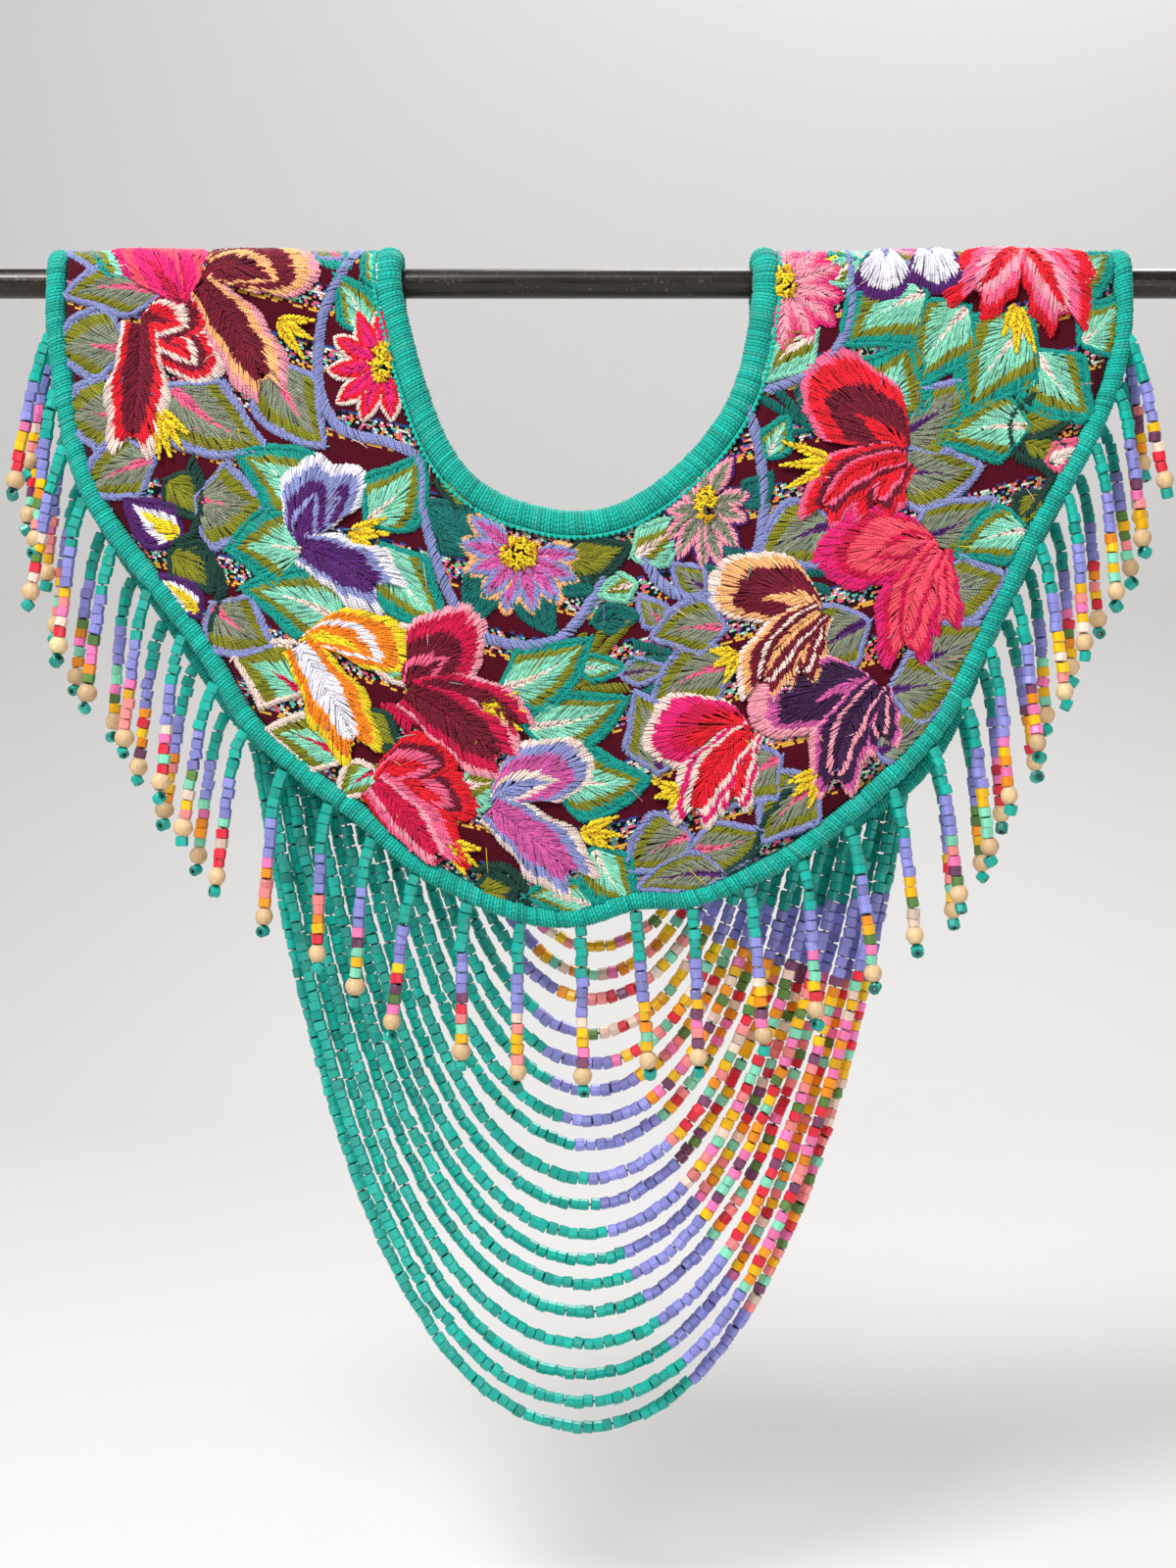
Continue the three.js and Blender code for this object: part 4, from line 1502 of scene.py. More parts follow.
    def tuck(self, blends: Sequence[Blend]) -> None:
        """Adds small leaves wherever a wide patch of bare ground is left.

        Args:
            blends: Their dyes, by turns.
        """
        step, room = 10.0, 5.2
        ring = np.vstack([np.zeros((1, 2)), compass(circle(12)) * room])
        number = 0
        for v in np.arange(-12.0, 262.0, step):
            for x in np.arange(-215.0, 216.0, step):
                centre = np.array(self.spot((x, v))) + self.draw.uniform(-4, 4, 2)
                patch = centre + ring
                if self.taken.covers(patch).any() or not self.cloth.covers(patch).all():
                    continue
                heading = self.draw.uniform(0, 2 * np.pi)
                reach = compass(heading) * self.draw.uniform(8, 11)
                width, bend = self.draw.uniform(10, 13.5), self.draw.uniform(-0.08, 0.08)
                petal = Petal(tuple(centre + reach), width, bend)
                self.leaf(tuple(centre - reach), petal, blends[number % len(blends)], heading)
                number += 1

    def wisps(self) -> None:
        """Lays loose ends of thread over the motifs."""
        count, heights, width = 110, (1.6, 4.0, 2.2), 0.34
        dyes = (Dye.CREAM, Dye.PINK, Dye.LAVENDER, Dye.MINT, Dye.YELLOW)
        places = np.stack([self.draw.uniform(-215, 215, count), self.draw.uniform(-12, 255, count)], axis=1)
        for number, dye in enumerate(dyes):
            start = np.array(self.spots(tuple(place) for place in places[number :: len(dyes)]))
            heading = self.draw.uniform(0, 2 * np.pi, len(start))
            reach = self.draw.uniform(4.0, 11.0, len(start))
            end = start + compass(heading) * reach[:, None]
            self.sew(start, end, np.tile(heights, (len(start), 1)), dye, width)

    def side(self, name: str, turn_over: bool) -> None:
        """Sews all motifs of one side.

        Args:
            name: The start of its pieces' names.
            turn_over: Whether the motifs are turned round onto the back.
        """
        self.turn_over = turn_over
        self.page = name + "_blossoms"
        self.wisps()
        for blossom in BLOSSOMS:
            self.blossom(blossom)
        for daisy in DAISIES:
            self.daisy(daisy)
        self.page = name + "_leaves"
        for vine in VINES:
            self.ribbon(Line(self.spots(vine.knots), vine.half, vine.dye), self.VINES, 0.9, 0.0, 1.3)
        for blend, alike in LEAVES.items():
            for leaf in alike:
                petal = Petal(self.spot(leaf.tip), leaf.width * 1.15, leaf.bend)
                self.leaf(self.spot(leaf.root), petal, blend, self.draw.uniform(0, 6))
        self.tuck((ASH_LEAF, TEAL_LEAF, GREY_LEAF, MINT_LEAF, SHADE_LEAF))
        for dye, root, tips in SPRIGS:
            for tip in tips:
                self.ribbon(Line(self.spots((root, tip)), 2.0, dye), self.LEAVES, 0.6, 0.5)

    def build(self, material: Material) -> list[Object]:
        """Lays the stitches over the draped cloth.

        Args:
            material: The thread's material.

        Returns:
            The pieces.
        """
        made = []
        for name, book in self.books.items():
            columns = [np.concatenate(column) for column in zip(*book)]
            batch = MeshBatch()
            self.lay(batch, *columns)
            piece = batch.build(name, material)
            made.append(piece)
        return made

    def lay(
        self, batch: MeshBatch, start: Array, end: Array, heights: Array, dyes: Array, widths: Array,
        bows: Array, chances: Array,
    ) -> None:
        """Adds stitches as rounded strips whose ends dip into the cloth.

        Args:
            batch: The mesh that they join.
            start: Their first ends.
            end: Their last ends.
            heights: Their heights at the start, the middle and the end.
            dyes: Their colours.
            widths: Their widths.
            bows: How far they bow sideways, as shares of their lengths.
            chances: A random number each.
        """
        count = len(start)
        shares = np.array([0.0, 0.5, 1.0])
        run = end - start
        length = np.linalg.norm(run, axis=1)
        across = np.stack([-run[:, 1], run[:, 0]], axis=1) / length[:, None]
        line = start[:, None] + run[:, None] * shares[None, :, None]
        line = line + across[:, None] * (bows * length)[:, None, None] * np.sin(np.pi * shares)[None, :, None]
        crest = heights - np.array([self.end_dip, 0.0, self.end_dip])
        half = widths[:, None] / 2 * np.array([self.end_width, 1.0, self.end_width])
        sides = np.array([-1.0, 0.0, 1.0])
        spots = line[:, :, None] + across[:, None, None] * (half[:, :, None] * sides)[..., None]
        level = crest[:, :, None] + np.where(sides == 0, half[:, :, None], -self.side_dip)
        points = self.pattern.drape.over(spots.reshape(-1, 2), CLOTH_FACE + level.reshape(-1))
        strip = grid_faces(3, 3, False, False)[:, ::-1]
        faces = (strip[None] + 9 * np.arange(count)[:, None, None]).reshape(-1, 4)
        # The place across each stitch sets the thread's painted edge shade.
        lies = ((length[:, None] * shares)[:, :, None], sides, chances[:, None, None])
        lies = np.stack([np.broadcast_to(lie, (count, 3, 3)) for lie in lies], axis=-1)
        batch.add(points, faces, np.repeat(dyes, 9, axis=0), lies.reshape(-1, 3))


# ---- the cloth


@dataclass
class YokeCloth:
    """The ring-shaped ground cloth, one thin shell over the rod; its area and flat size are in metres."""

    pattern: Pattern
    around: int = 420
    across: int = 16
    thick: float = 1.8
    area: float = 0.0
    flat: tuple[float, float] = (0.0, 0.0)

    def build(self, material: Material) -> Object:
        """Makes the shell.

        Args:
            material: The ground's material.

        Returns:
            The piece.
        """
        outer = self.pattern.outer_ring.moved(-(self.pattern.edge_width + SEAM_GAP + FACET_ROOM))
        inner = self.pattern.neck_ring.moved(self.pattern.neck_width + SEAM_GAP)
        turn = 4 * np.arange(self.around) / self.around
        near, far = (line.at(np.interp(turn, np.arange(5), self.levels(line)))[0] for line in (inner, outer))
        share = np.linspace(0.0, 1.0, self.across + 1)
        spots = near[:, None] + (far - near)[:, None] * share[None, :, None]
        both = np.concatenate([spots, spots[:, ::-1]], axis=1)
        height = np.repeat([CLOTH_FACE, CLOTH_FACE - self.thick], self.across + 1)
        points = self.pattern.drape.over(both.reshape(-1, 2), np.tile(height, self.around))
        batch = MeshBatch()
        faces = grid_faces(self.around, 2 * self.across + 2, True, True)
        batch.add(points, faces, np.array(Dye.BURGUNDY.value))
        piece = batch.build("yoke_cloth", material)
        self.area = self.ring_area(outer.points) - self.ring_area(inner.points)
        span = outer.points.max(axis=0) - outer.points.min(axis=0)
        self.flat = (float(span[0]) * MM, float(span[1]) * MM)
        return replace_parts(piece, "front_yoke", "back_yoke")

    def levels(self, line: ClothLine) -> Array:
        """Finds where a ring's front and back begin and end.

        Args:
            line: The ring.

        Returns:
            Distances along it, from its start round to its start.
        """
        x, v = line.points.T
        behind = -2 * self.pattern.drape.quarter
        ends = ((x > 0, 0.0), (x > 0, behind), (x < 0, behind))
        nearest = [int(np.argmin(np.where(side, np.abs(v - level), np.inf))) for side, level in ends]
        return np.array([0.0, *line.reach[nearest], line.length])

    @staticmethod
    def ring_area(points: Array) -> float:
        """The area inside a closed outline, in square metres."""
        x, v = points.T
        return abs(float(np.dot(x, np.roll(v, -1)) - np.dot(v, np.roll(x, -1)))) / 2 * MM * MM


@dataclass
class WrappedRoll:
    """A padded roll bound with yarn, wrap beside wrap, all round an edge.

    Each wrap stands a ridge above the groove beside it, and the groove carries painted shade. Wraps stray
    along the line, are uneven in height and wander round the roll, which is a little lumpy. They fade by
    turns, and a few are bleached.
    """

    pattern: Pattern
    name: str
    line: ClothLine
    width: float
    thick: float
    sides: int
    wrap: float = 1.3
    ridge: float = 0.22
    stray: float = 0.11
    uneven: float = 0.1
    wander: float = 0.9
    wander_waves: tuple[float, float] = (31.0, 73.0)
    lump: float = 0.16
    lump_waves: tuple[float, float] = (17.0, 43.0)
    fade: float = 0.13
    # Painted shade: the colour factor of the grooves between wraps.
    valley_painted_shade: float = 0.62
    bleach: float = 0.15

    def build(self, material: Material, *nodes: str) -> Object:
        """Makes the roll.

        Args:
            material: The yarn's material.
            *nodes: The CAD nodes that it stands for.

        Returns:
            The piece.
        """
        draw = np.random.default_rng(SEED + len(self.name))
        wraps = int(self.line.length / self.wrap)
        rings = 3 * wraps
        order = np.arange(rings)
        crown = order % 3 > 0
        distance = order * self.line.length / rings
        distance = (distance + np.repeat(draw.normal(0, self.stray, wraps), 3))[:, None]
        turn = circle(self.sides)
        short, long = self.wander_waves
        wander = 0.5 + self.wander * np.sin(distance / short) * np.sin(distance / long + 1.0)
        where = distance + wander * np.cos(turn) + 0.25 * np.sin(turn + distance / 9)
        point, normal = self.line.at(where)
        crest = np.where(crown, self.ridge, -self.ridge) + np.repeat(draw.normal(0, self.uneven, wraps), 3)
        short, long = self.lump_waves
        lump = self.lump * np.sin(distance / short) * np.sin(turn + distance / long)
        half_width = self.width / 2 - self.ridge + crest[:, None] + lump
        half_thick = self.thick / 2 - self.ridge + crest[:, None] + lump
        spots = point + normal * (half_width * np.cos(turn))[..., None]
        height = self.thick / 2 + half_thick * np.sin(turn)
        points = self.pattern.drape.over(spots.reshape(-1, 2), height.reshape(-1))
        shade = np.repeat(1 + self.fade * draw.standard_normal(wraps), 3)[:, None]
        # Painted shade: the grooves between wraps are darker than the crests.
        shade = shade * np.where(crown, 1.0, self.valley_painted_shade)[:, None]
        pale = np.repeat(draw.uniform(0, 1, wraps) ** 12 * self.bleach, 3)[:, None]
        yarn = np.array(Dye.YARN_TEAL.value) * shade * (1 - pale) + np.array(Dye.MINT.value) * pale
        dyes = np.repeat(yarn, self.sides, axis=0)
        along = np.tile(turn * self.width / 2, rings)
        # The grooves lie further across the yarn, which also darkens them through its painted edge shade.
        across = np.repeat(np.where(crown, 0.25, 0.7), self.sides)
        chance = np.repeat(np.repeat(draw.uniform(0, 1, wraps), 3), self.sides)
        batch = MeshBatch()
        faces = grid_faces(rings, self.sides, True, True)[:, ::-1]
        batch.add(points, faces, np.clip(dyes, 0, 1), np.stack([along, across, chance], axis=1))
        piece = batch.build(self.name, material)
        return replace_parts(piece, *nodes)


@dataclass
class EdgeTwine:
    """The looped cord that closes the blanket stitches along a roll's side."""

    pattern: Pattern
    name: str
    line: ClothLine
    height: float
    radius: float = 0.85
    loop: float = 2.6
    swing: float = 0.3
    step: float = 0.65
    sides: int = 7

    def build(self, material: Material) -> Object:
        """Makes the cord.

        Args:
            material: The yarn's material.

        Returns:
            The piece.
        """
        rings = int(self.line.length / self.step)
        distance = np.arange(rings) * self.line.length / rings
        point, normal = self.line.at(distance)
        turn = circle(self.sides)
        pulse = np.sin(2 * np.pi * distance / self.loop)
        radius = self.radius * (1 + self.swing * pulse)[:, None]
        out = radius * np.cos(turn) + self.swing * pulse[:, None]
        spots = point[:, None] + normal[:, None] * out[..., None]
        height = self.height + radius * np.sin(turn)
        points = self.pattern.drape.over(spots.reshape(-1, 2), height.reshape(-1))
        # Painted shade: the cord is darker where it narrows between loops and lighter where it swells out.
        shade = (0.86 + 0.16 * pulse)[:, None] * np.array(Dye.YARN_TEAL.value)
        lies = np.repeat(distance, self.sides)[:, None] * (1.0, 0.0, 0.0)
        batch = MeshBatch()
        faces = grid_faces(rings, self.sides, True, True)[:, ::-1]
        batch.add(points, faces, np.repeat(shade, self.sides, axis=0), lies)
        return batch.build(self.name, material)


# ---- beads


@dataclass(frozen=True)
class Bead:
    """A drilled bead, turned from a short profile; lengths in millimetres."""

    radius: float
    length: float
    hole: float
    bulge: float = 0.0
    bevel: float = 0.35
    sides: int = 10

    def mesh(self) -> tuple[Array, Faces]:
        """Turns the profile round the Z axis.

        Returns:
            The vertices and the faces.
        """
        half = self.length / 2
        if self.bulge:
            wall, swing = self.radius - self.hole, np.linspace(-1.0, 1.0, 6)
            outer = [(self.hole + wall * math.cos(1.25 * s) ** 0.8, half * s) for s in swing]
            profile = [*outer, (self.hole, half * 0.8), (self.hole, -half * 0.8)]
        else:
            shoulder = half - self.bevel
            profile = [
                (self.radius - self.bevel, -half), (self.radius, -shoulder), (self.radius, shoulder),
                (self.radius - self.bevel, half), (self.hole, half - 0.1), (self.hole, -half + 0.1),
            ]
        turn = circle(self.sides)
        rows = [[(r * math.cos(t), r * math.sin(t), z) for t in turn] for r, z in profile]
        faces = grid_faces(len(profile), self.sides, True, True)
        return np.array(rows, float).reshape(-1, 3), faces

    def painted_recess_shade(self) -> Array:
        """Painted shade on each row of the profile: darker at the bevelled ends, darkest in the hole."""
        painted_recess_shade = (0.8, 1.0, 1.0, 1.0, 1.0, 0.8, 0.4, 0.4) if self.bulge else (0.62, 1.0, 1.0, 0.62, 0.3, 0.3)
        return np.array(painted_recess_shade)


@dataclass
class Strung:
    """Beads to be made, with their centres in metres, axes, colours and kinds, and the threads in them."""

    centres: list[Array] = field(default_factory=list)
    axes: list[Array] = field(default_factory=list)
    colours: list[Array] = field(default_factory=list)
    wooden: list[bool] = field(default_factory=list)
    threads: list[Array] = field(default_factory=list)


@dataclass
class BeadWork:
    """The fringe and the nested loops of beads."""

    pattern: Pattern
    tube: Bead = Bead(2.6, 4.14, 0.95, bevel=0.38, sides=8)
    wood: Bead = Bead(4.0, 7.0, 1.0, bulge=1.0, sides=14)
    pitch: float = 4.2
    fade: float = 0.12
    slack: float = 0.2
    fringe_length: float = 73.0
    fringe_pitch: float = 23.4
    first_at: float = 4.3
    wooden_at: float = 65.0
    last_at: float = 71.0
    start_angle: float = 40.0
    settle: float = 9.0
    lean: float = 8.0
    stray: float = 3.5
    front_first: float = 20.0
    back_first: float = 9.0
    bottom_left: float = 3.0
    bottom_right: float = 20.0
    back_set: int = 50
    loop_middle: float = 4.0
    loop_room: float = 7.0
    loop_layers: tuple[float, float] = (1.5, 7.0)
    loop_bare: float = 4.4
    loop_turn: float = -38.0
    loop_turn_step: float = 4.8
    loop_share: float = 0.12
    rim_angle: float = math.radians(38)
    loop_depths: tuple[int, ...] = (
        274, 286, 296, 311, 323, 335, 347, 358, 371, 383, 394, 406, 415, 428, 440, 454, 464, 476,
    )
    loop_lefts: tuple[int, ...] = tuple(range(42, 162, 7))
    loop_rights: tuple[int, ...] = (
        40, 46, 52, 57, 63, 69, 74, 80, 86, 91, 97, 103, 108, 114, 120, 125, 131, 137,
    )

    def __post_init__(self) -> None:
        """Seeds the draws of the mixed colours."""
        self.draw = np.random.default_rng(SEED + 7)

    def mixed(self) -> Colour:
        """A random colour of the mixed stretch."""
        return MIXED_GLASS[int(self.draw.integers(len(MIXED_GLASS)))].value

    @staticmethod
    def uneven(index: int) -> float:
        """An uneven number from -1 to 1 that is the same for the same index."""
        wave = math.sin(index * 12.9898) * 43758.5453
        return 2 * (wave - math.floor(wave)) - 1

    def roots(self, start: float, end: float) -> Array:
        """Even distances between two ends, at about the fringe's pitch."""
        return np.linspace(start, end, round((end - start) / self.fringe_pitch) + 1)

    def strand(self, strung: Strung, side: float, line: ClothLine, distance: float, index: int) -> None:
        """Hangs one fringe strand.

        Args:
            strung: The beads that it joins.
            side: -1 on the front and 1 on the back.
            line: The outer roll's middle line.
            distance: The strand's root along it.
            index: The strand's number, which sets how it strays.
        """
        (x, down), (nx, nv) = line.at(distance)
        root = self.pattern.drape.place(side, x, down, self.pattern.edge_thick / 2)
        limit = math.radians(self.start_angle)
        start = float(np.clip(math.atan2(nx, nv), -limit, limit))
        lean = math.radians(self.lean * nx + self.stray * self.uneven(index))
        step = 0.5
        walked = np.arange(0.0, self.fringe_length + 3.0, step)
        turn = lean + (start - lean) * np.exp(-walked / self.settle)
        steps = np.stack([np.sin(turn), np.zeros_like(turn), -np.cos(turn)], axis=1) * step * MM
        path = root + np.vstack([np.zeros(3), np.cumsum(steps, axis=0)])[:-1]
        strung.threads.append(path[walked <= self.last_at][::8])
        colours = [Glass.TEAL.value] * 5 + [Glass.LAVENDER.value] * 4 + [self.mixed() for _ in range(5)]
        fit = (self.wooden_at - self.wood.length / 2 - self.first_at) / len(colours)
        for i, colour in enumerate(colours):
            self.hang(strung, path, walked, self.first_at + (i + 0.5) * fit, colour, 0.1)
        self.hang(strung, path, walked, self.wooden_at, WOOD_COLOUR, 0.12, wooden=True)
        self.hang(strung, path, walked, self.last_at, Glass.TEAL.value, 0.9)

    def hang(
        self, strung: Strung, path: Array, reach: Array, at: float, colour: Colour, tilt: float,
        wooden: bool = False,
    ) -> None:
        """Hangs one bead on a path.

        Args:
            strung: The beads that it joins.
            path: The path's points, in metres.
            reach: The distance along the path of each, in millimetres.
            at: The bead's own distance.
            colour: Its colour.
            tilt: How far its axis may stray from the path.
            wooden: Whether it is the round wooden one.
        """
        run = unit(read(at + 1.0, reach, path) - read(at - 1.0, reach, path))
        strung.axes.append(unit(run + self.draw.normal(0, tilt, 3)))
        strung.colours.append(np.clip(np.array(colour) * (1 + self.fade * self.draw.standard_normal()), 0, 1))
        strung.centres.append(read(at, reach, path) + self.draw.normal(0, self.slack, 3) * MM)
        strung.wooden.append(wooden)

    def chain(self, left: Array, right: Array, lowest: float) -> Array:
        """The line of a chain between two points.

        Args:
            left: Its left end, in millimetres.
            right: Its right end.
            lowest: The level of its lowest point.

        Returns:
            Its points, in millimetres.
        """
        span = right[0] - left[0]
        low, high = 1.0, 2000.0
        for _ in range(60):
            scale = (low + high) / 2
            reach = scale * sum(math.acosh(1 + (end[2] - lowest) / scale) for end in (left, right))
            low, high = (scale, high) if reach < span else (low, scale)
        scale = (low + high) / 2
        bottom = left[0] + scale * math.acosh(1 + (left[2] - lowest) / scale)
        share = np.linspace(0.0, 1.0, 300)
        ends = [math.sinh((end[0] - bottom) / scale) for end in (left, right)]
        turn = np.arcsinh(ends[0] + (ends[1] - ends[0]) * share)
        y = left[1] + (right[1] - left[1]) * share
        return np.stack([bottom + scale * turn, y, lowest + scale * (np.cosh(turn) - 1)], axis=1)

    def loop(self, strung: Strung, line: ClothLine, middle: float, number: int) -> None:
        """Hangs one of the nested loops.

        Args:
            strung: The beads that it joins.
            line: The back's outer roll.
            middle: The distance along it over which the loops are centred.
            number: The loop's number, from the innermost one.
        """
        layer = self.loop_layers[number % 2]
        ends = []
        for distance in (middle - self.loop_lefts[number], middle + self.loop_rights[number]):
            (x, down), _ = line.at(distance)
            ends.append(self.pattern.drape.place(1.0, x, down, layer) / MM)
        path = self.chain(ends[0], ends[1], -self.loop_depths[number])
        reach = reach_along(path)
        strung_length = reach[-1] - 2 * self.loop_bare
        count = int(strung_length / self.pitch)
        places = self.loop_bare + (np.arange(count) + 0.5) * (strung_length / count)
        across = np.interp(places, reach, path[:, 0])
        turning = self.loop_turn + self.loop_turn_step * number
        turned = int(np.searchsorted(across, turning))
        most = round(count * self.loop_share)
        teal_end = min(2 + round(number * 0.45), most)
        lavender_end = teal_end + min(2 + round(number * 0.4), most)
        lavender_start = min(9, round(count * 0.14))
        for i, at in enumerate(places):
            left = count - 1 - i
            if i < turned or left < teal_end:
                colour = Glass.TEAL.value
            elif i - turned < lavender_start or left < lavender_end:
                colour = Glass.LAVENDER.value
            else:
                colour = self.mixed()
            self.hang(strung, path * MM, reach, at, colour, 0.08)
        strung.threads.append(path[::3] * MM)

    def make(
        self, strung: Strung, name: str, glass: Material, wood: Material
    ) -> Object:
        """Turns strung beads into one piece.

        Args:
            strung: The beads.
            name: The piece's name, which is also the CAD node that it stands for.
            glass: The glass beads' material.
            wood: The wooden beads' material.

        Returns:
            The piece.
        """
        centres, axes = np.array(strung.centres), np.array(strung.axes)
        colours, wooden = np.array(strung.colours), np.array(strung.wooden)
        helper = np.where(np.abs(axes[:, 1:2]) < 0.8, (0.0, 1.0, 0.0), (1.0, 0.0, 0.0))
        u = unit(np.cross(axes, helper))
        basis = np.stack([u, np.cross(axes, u), axes], axis=1)
        size = np.ones((len(centres), 3))
        size[:, :2] = self.draw.uniform(0.88, 1.06, (len(centres), 1))
        batch = MeshBatch()
        for slot, (bead, chosen) in enumerate(((self.tube, ~wooden), (self.wood, wooden))):
            points, faces = bead.mesh()
            count = int(chosen.sum())
            if not count:
                continue
            local = points[None] * size[chosen][:, None] * MM
            placed = np.einsum("nkj,nji->nki", local, basis[chosen]) + centres[chosen][:, None]
            every = (faces[None] + len(points) * np.arange(count)[:, None, None]).reshape(-1, 4)
            # Painted shade at the beads' bevelled ends and in their holes.
            painted_recess_shade = np.repeat(bead.painted_recess_shade(), bead.sides)
            dyes = colours[chosen][:, None] * painted_recess_shade[None, :, None]
            batch.add(placed.reshape(-1, 3), every, dyes.reshape(-1, 3), None, slot)
        for path in strung.threads:
            self.thread(batch, path)
        piece = batch.build(name + "_beads", glass, wood)
        piece.data.set_sharp_from_angle(angle=self.rim_angle)
        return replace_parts(piece, name)

    @staticmethod
    def thread(batch: MeshBatch, path: Array, radius: float = 0.45, sides: int = 4) -> None:
        """Runs the thread of a strand through its beads.

        Args:
            batch: The mesh that it joins.
            path: Its points, in metres.
            radius: Its radius, in millimetres.
            sides: How many sides its section has.
        """
        run = unit(np.gradient(path, axis=0))
        deep = unit(np.cross(run, np.array([0.0, 1.0, 0.0])))
        wide = np.cross(run, deep)
        turn = circle(sides)
        ring = deep[:, None] * np.cos(turn)[None, :, None] + wide[:, None] * np.sin(turn)[None, :, None]
        points = (path[:, None] + ring * radius * MM).reshape(-1, 3)
        dyes = np.tile(np.array(Dye.DEEP_TEAL.value), (len(points), 1))
        batch.add(points, grid_faces(len(path), sides, False, True), dyes)

    def build(self, glass: Material, wood: Material) -> list[Object]:
        """Makes all strands and loops.

        Args:
            glass: The glass beads' material.
            wood: The wooden beads' material.

        Returns:
            The pieces, one for each CAD node with strands.
        """
        front, back = self.pattern.front_edge, self.pattern.back_edge
        middle = front.under(0.0)
        left = self.roots(self.front_first, middle - self.bottom_left)
        right = self.roots(middle + self.bottom_right, front.length - self.front_first)
        centre = back.under(self.loop_middle)
        start = centre - self.loop_lefts[-1] - self.loop_room
        end = centre + self.loop_rights[-1] + self.loop_room
        back_left = self.roots(self.back_first, start - self.loop_room)
        back_right = self.roots(end + self.loop_room, back.length - self.back_first)
        rows = (
            ("front_fringe_left", -1.0, front, left, 0),
            ("front_fringe_right", -1.0, front, right, len(left)),
            ("back_fringe_left", 1.0, back, back_left, self.back_set),
            ("back_fringe_right", 1.0, back, back_right, self.back_set + len(back_left)),
        )
        pieces = []
        for name, side, line, distances, first in rows:
            strung = Strung()
            for i, distance in enumerate(distances):
                self.strand(strung, side, line, float(distance), first + i)
            pieces.append(self.make(strung, name, glass, wood))
        strung = Strung()
        for number in range(len(self.loop_depths)):
            self.loop(strung, back, centre, number)
        pieces.append(self.make(strung, "back_bead_loops", glass, wood))
        return pieces


# ---- the studio


@dataclass(frozen=True)
class Lamp:
    """A soft square light: its place and side in metres, and its power in watts."""

    name: str
    place: tuple[float, float, float]
    size: float
    power: float


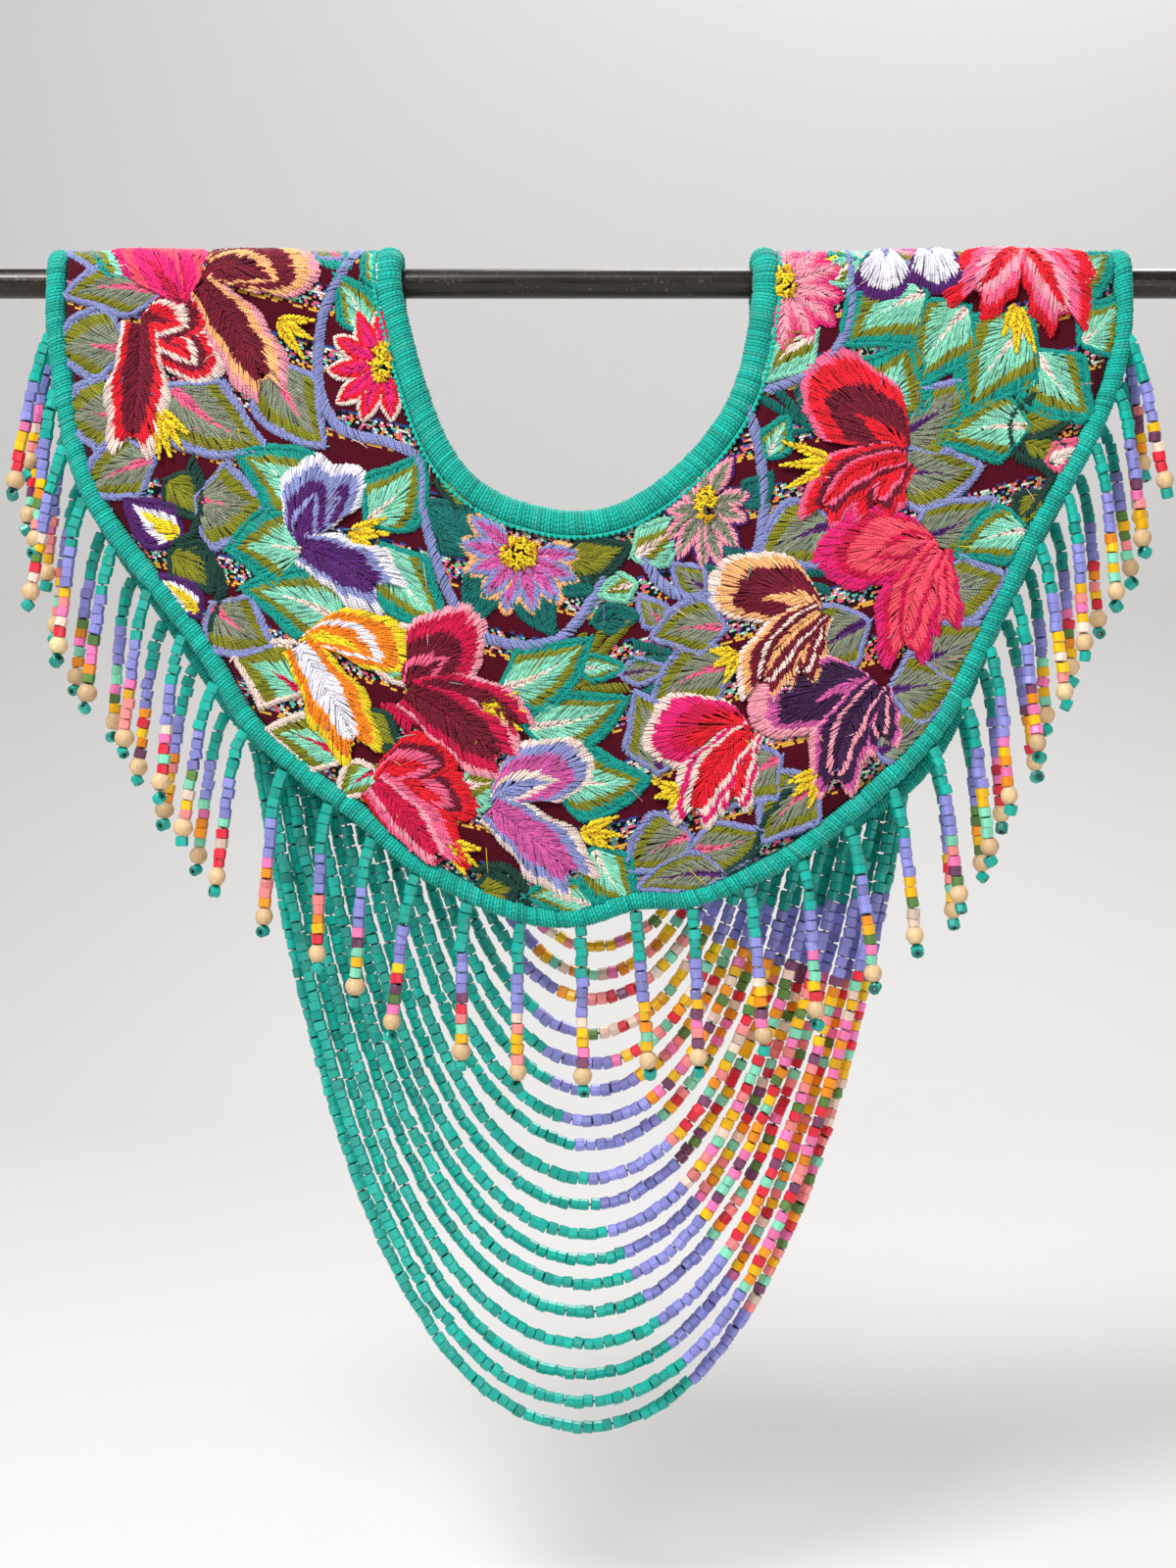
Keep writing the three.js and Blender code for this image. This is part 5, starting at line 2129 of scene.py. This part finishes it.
@dataclass
class Studio:
    """The plain pale floor, the soft lights and the camera."""

    lamps: tuple[Lamp, ...] = (
        Lamp("key", (-0.8, -1.3, 1.5), 0.8, 58.0),
        Lamp("fill", (0.8, -1.4, -0.5), 1.2, 9.0),
        Lamp("back", (0.6, 1.5, 1.9), 1.4, 60.0),
    )
    world_colour: tuple[float, float, float] = (0.86, 0.88, 0.9)
    world_strength: float = 0.27
    camera_back: float = 0.859
    camera_level: float = -0.2063
    frame_height: float = 0.64
    frame_distance: float = 0.85
    floor_level: float = -0.56
    film: float = 36.0

    def build(self) -> None:
        """Sets the stage."""
        self.floor()
        self.camera()
        for lamp in self.lamps:
            self.light(lamp)
        world = bpy.data.worlds.new("pale room")
        world.use_nodes = True
        background = world.node_tree.nodes["Background"]
        background.inputs["Color"].default_value = (*self.world_colour, 1.0)
        background.inputs["Strength"].default_value = self.world_strength
        bpy.context.scene.world = world
        bpy.context.scene.view_settings.view_transform = "Standard"

    def camera(self) -> None:
        """A level camera, square to the cape."""
        data = bpy.data.cameras.new("camera")
        data.sensor_fit = "VERTICAL"
        data.sensor_height = self.film
        data.lens = self.film * self.frame_distance / self.frame_height
        made = bpy.data.objects.new("camera", data)
        made.location = (0.0, -self.camera_back, self.camera_level)
        made.rotation_euler = (math.pi / 2, 0.0, 0.0)
        bpy.context.scene.collection.objects.link(made)
        bpy.context.scene.camera = made

    def light(self, lamp: Lamp) -> None:
        """Hangs a lamp that faces the cape's middle.

        Args:
            lamp: The lamp.
        """
        data = bpy.data.lights.new(lamp.name, "AREA")
        data.size = lamp.size
        data.energy = lamp.power
        made = bpy.data.objects.new(lamp.name, data)
        made.location = lamp.place
        aim = np.array((0.0, 0.0, self.camera_level)) - np.array(lamp.place)
        flat = math.hypot(aim[0], aim[1])
        made.rotation_euler = (math.atan2(flat, -aim[2]), 0.0, math.atan2(aim[1], aim[0]) - math.pi / 2)
        bpy.context.scene.collection.objects.link(made)

    def floor(self) -> None:
        """A floor that curves up behind the cape."""
        near, turn, wall, top, half = -4.0, 1.3, 1.9, 2.6, 4.0
        level = self.floor_level
        radius = wall - turn
        angles = np.linspace(0, math.pi / 2, 16)
        bend = [(turn + radius * math.sin(a), level + radius * (1 - math.cos(a))) for a in angles]
        section = [(near, level), (0.0, level), *bend, (wall, top)]
        points = np.array([(x, y, z) for y, z in section for x in (-half, half)])
        mesh = bpy.data.meshes.new("floor")
        faces = [(2 * i, 2 * i + 1, 2 * i + 3, 2 * i + 2) for i in range(len(section) - 1)]
        mesh.from_pydata(points.tolist(), [], faces)
        mesh.shade_smooth()
        mesh.materials.append(FloorFinish().material())
        made = bpy.data.objects.new("floor", mesh)
        bpy.context.scene.collection.objects.link(made)


def main() -> None:
    """Builds the cape's pieces in order and sets the stage."""
    logging.basicConfig(level=logging.INFO, format="%(name)s %(message)s")
    Studio().build()
    pattern = Pattern()
    thread = ThreadFinish("stitched thread").material()
    yarn = ThreadFinish("wrapping yarn", roughness=0.7, sheen=0.15, twist=3.0, depth=0.0003).material()
    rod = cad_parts["rod"]
    steel = SteelFinish().material()
    rod.data.materials.clear()
    rod.data.materials.append(steel)

    cloth = YokeCloth(pattern)
    ground = cloth.build(GroundFinish().material())
    sewing = Embroidery(pattern)
    sewing.side("front", turn_over=False)
    sewing.side("back", turn_over=True)
    motifs = sewing.build(thread)

    middle = pattern.neck_ring.moved(pattern.neck_width / 2)
    neck = WrappedRoll(pattern, "neck_roll_yarn", middle, pattern.neck_width, pattern.neck_thick, 16)
    neck_roll = neck.build(yarn, "neck_roll")
    middle = pattern.outer_ring.moved(-pattern.edge_width / 2)
    outer = WrappedRoll(pattern, "outer_roll_yarn", middle, pattern.edge_width, pattern.edge_thick, 12)
    outer_roll = outer.build(yarn, "shoulder_roll_left", "shoulder_roll_right")
    side = pattern.neck_ring.moved(pattern.neck_width + 0.2)
    twine = EdgeTwine(pattern, "neck_twine", side, CLOTH_FACE + 1.0).build(yarn)
    beads = BeadWork(pattern).build(GlassFinish().material(), WoodFinish().material())

    trims = [*motifs, neck_roll, outer_roll, twine, *beads]
    log.info("cloth: flat %s, area %.4f", cloth.flat, cloth.area)


if __name__ == "__main__":
    main()
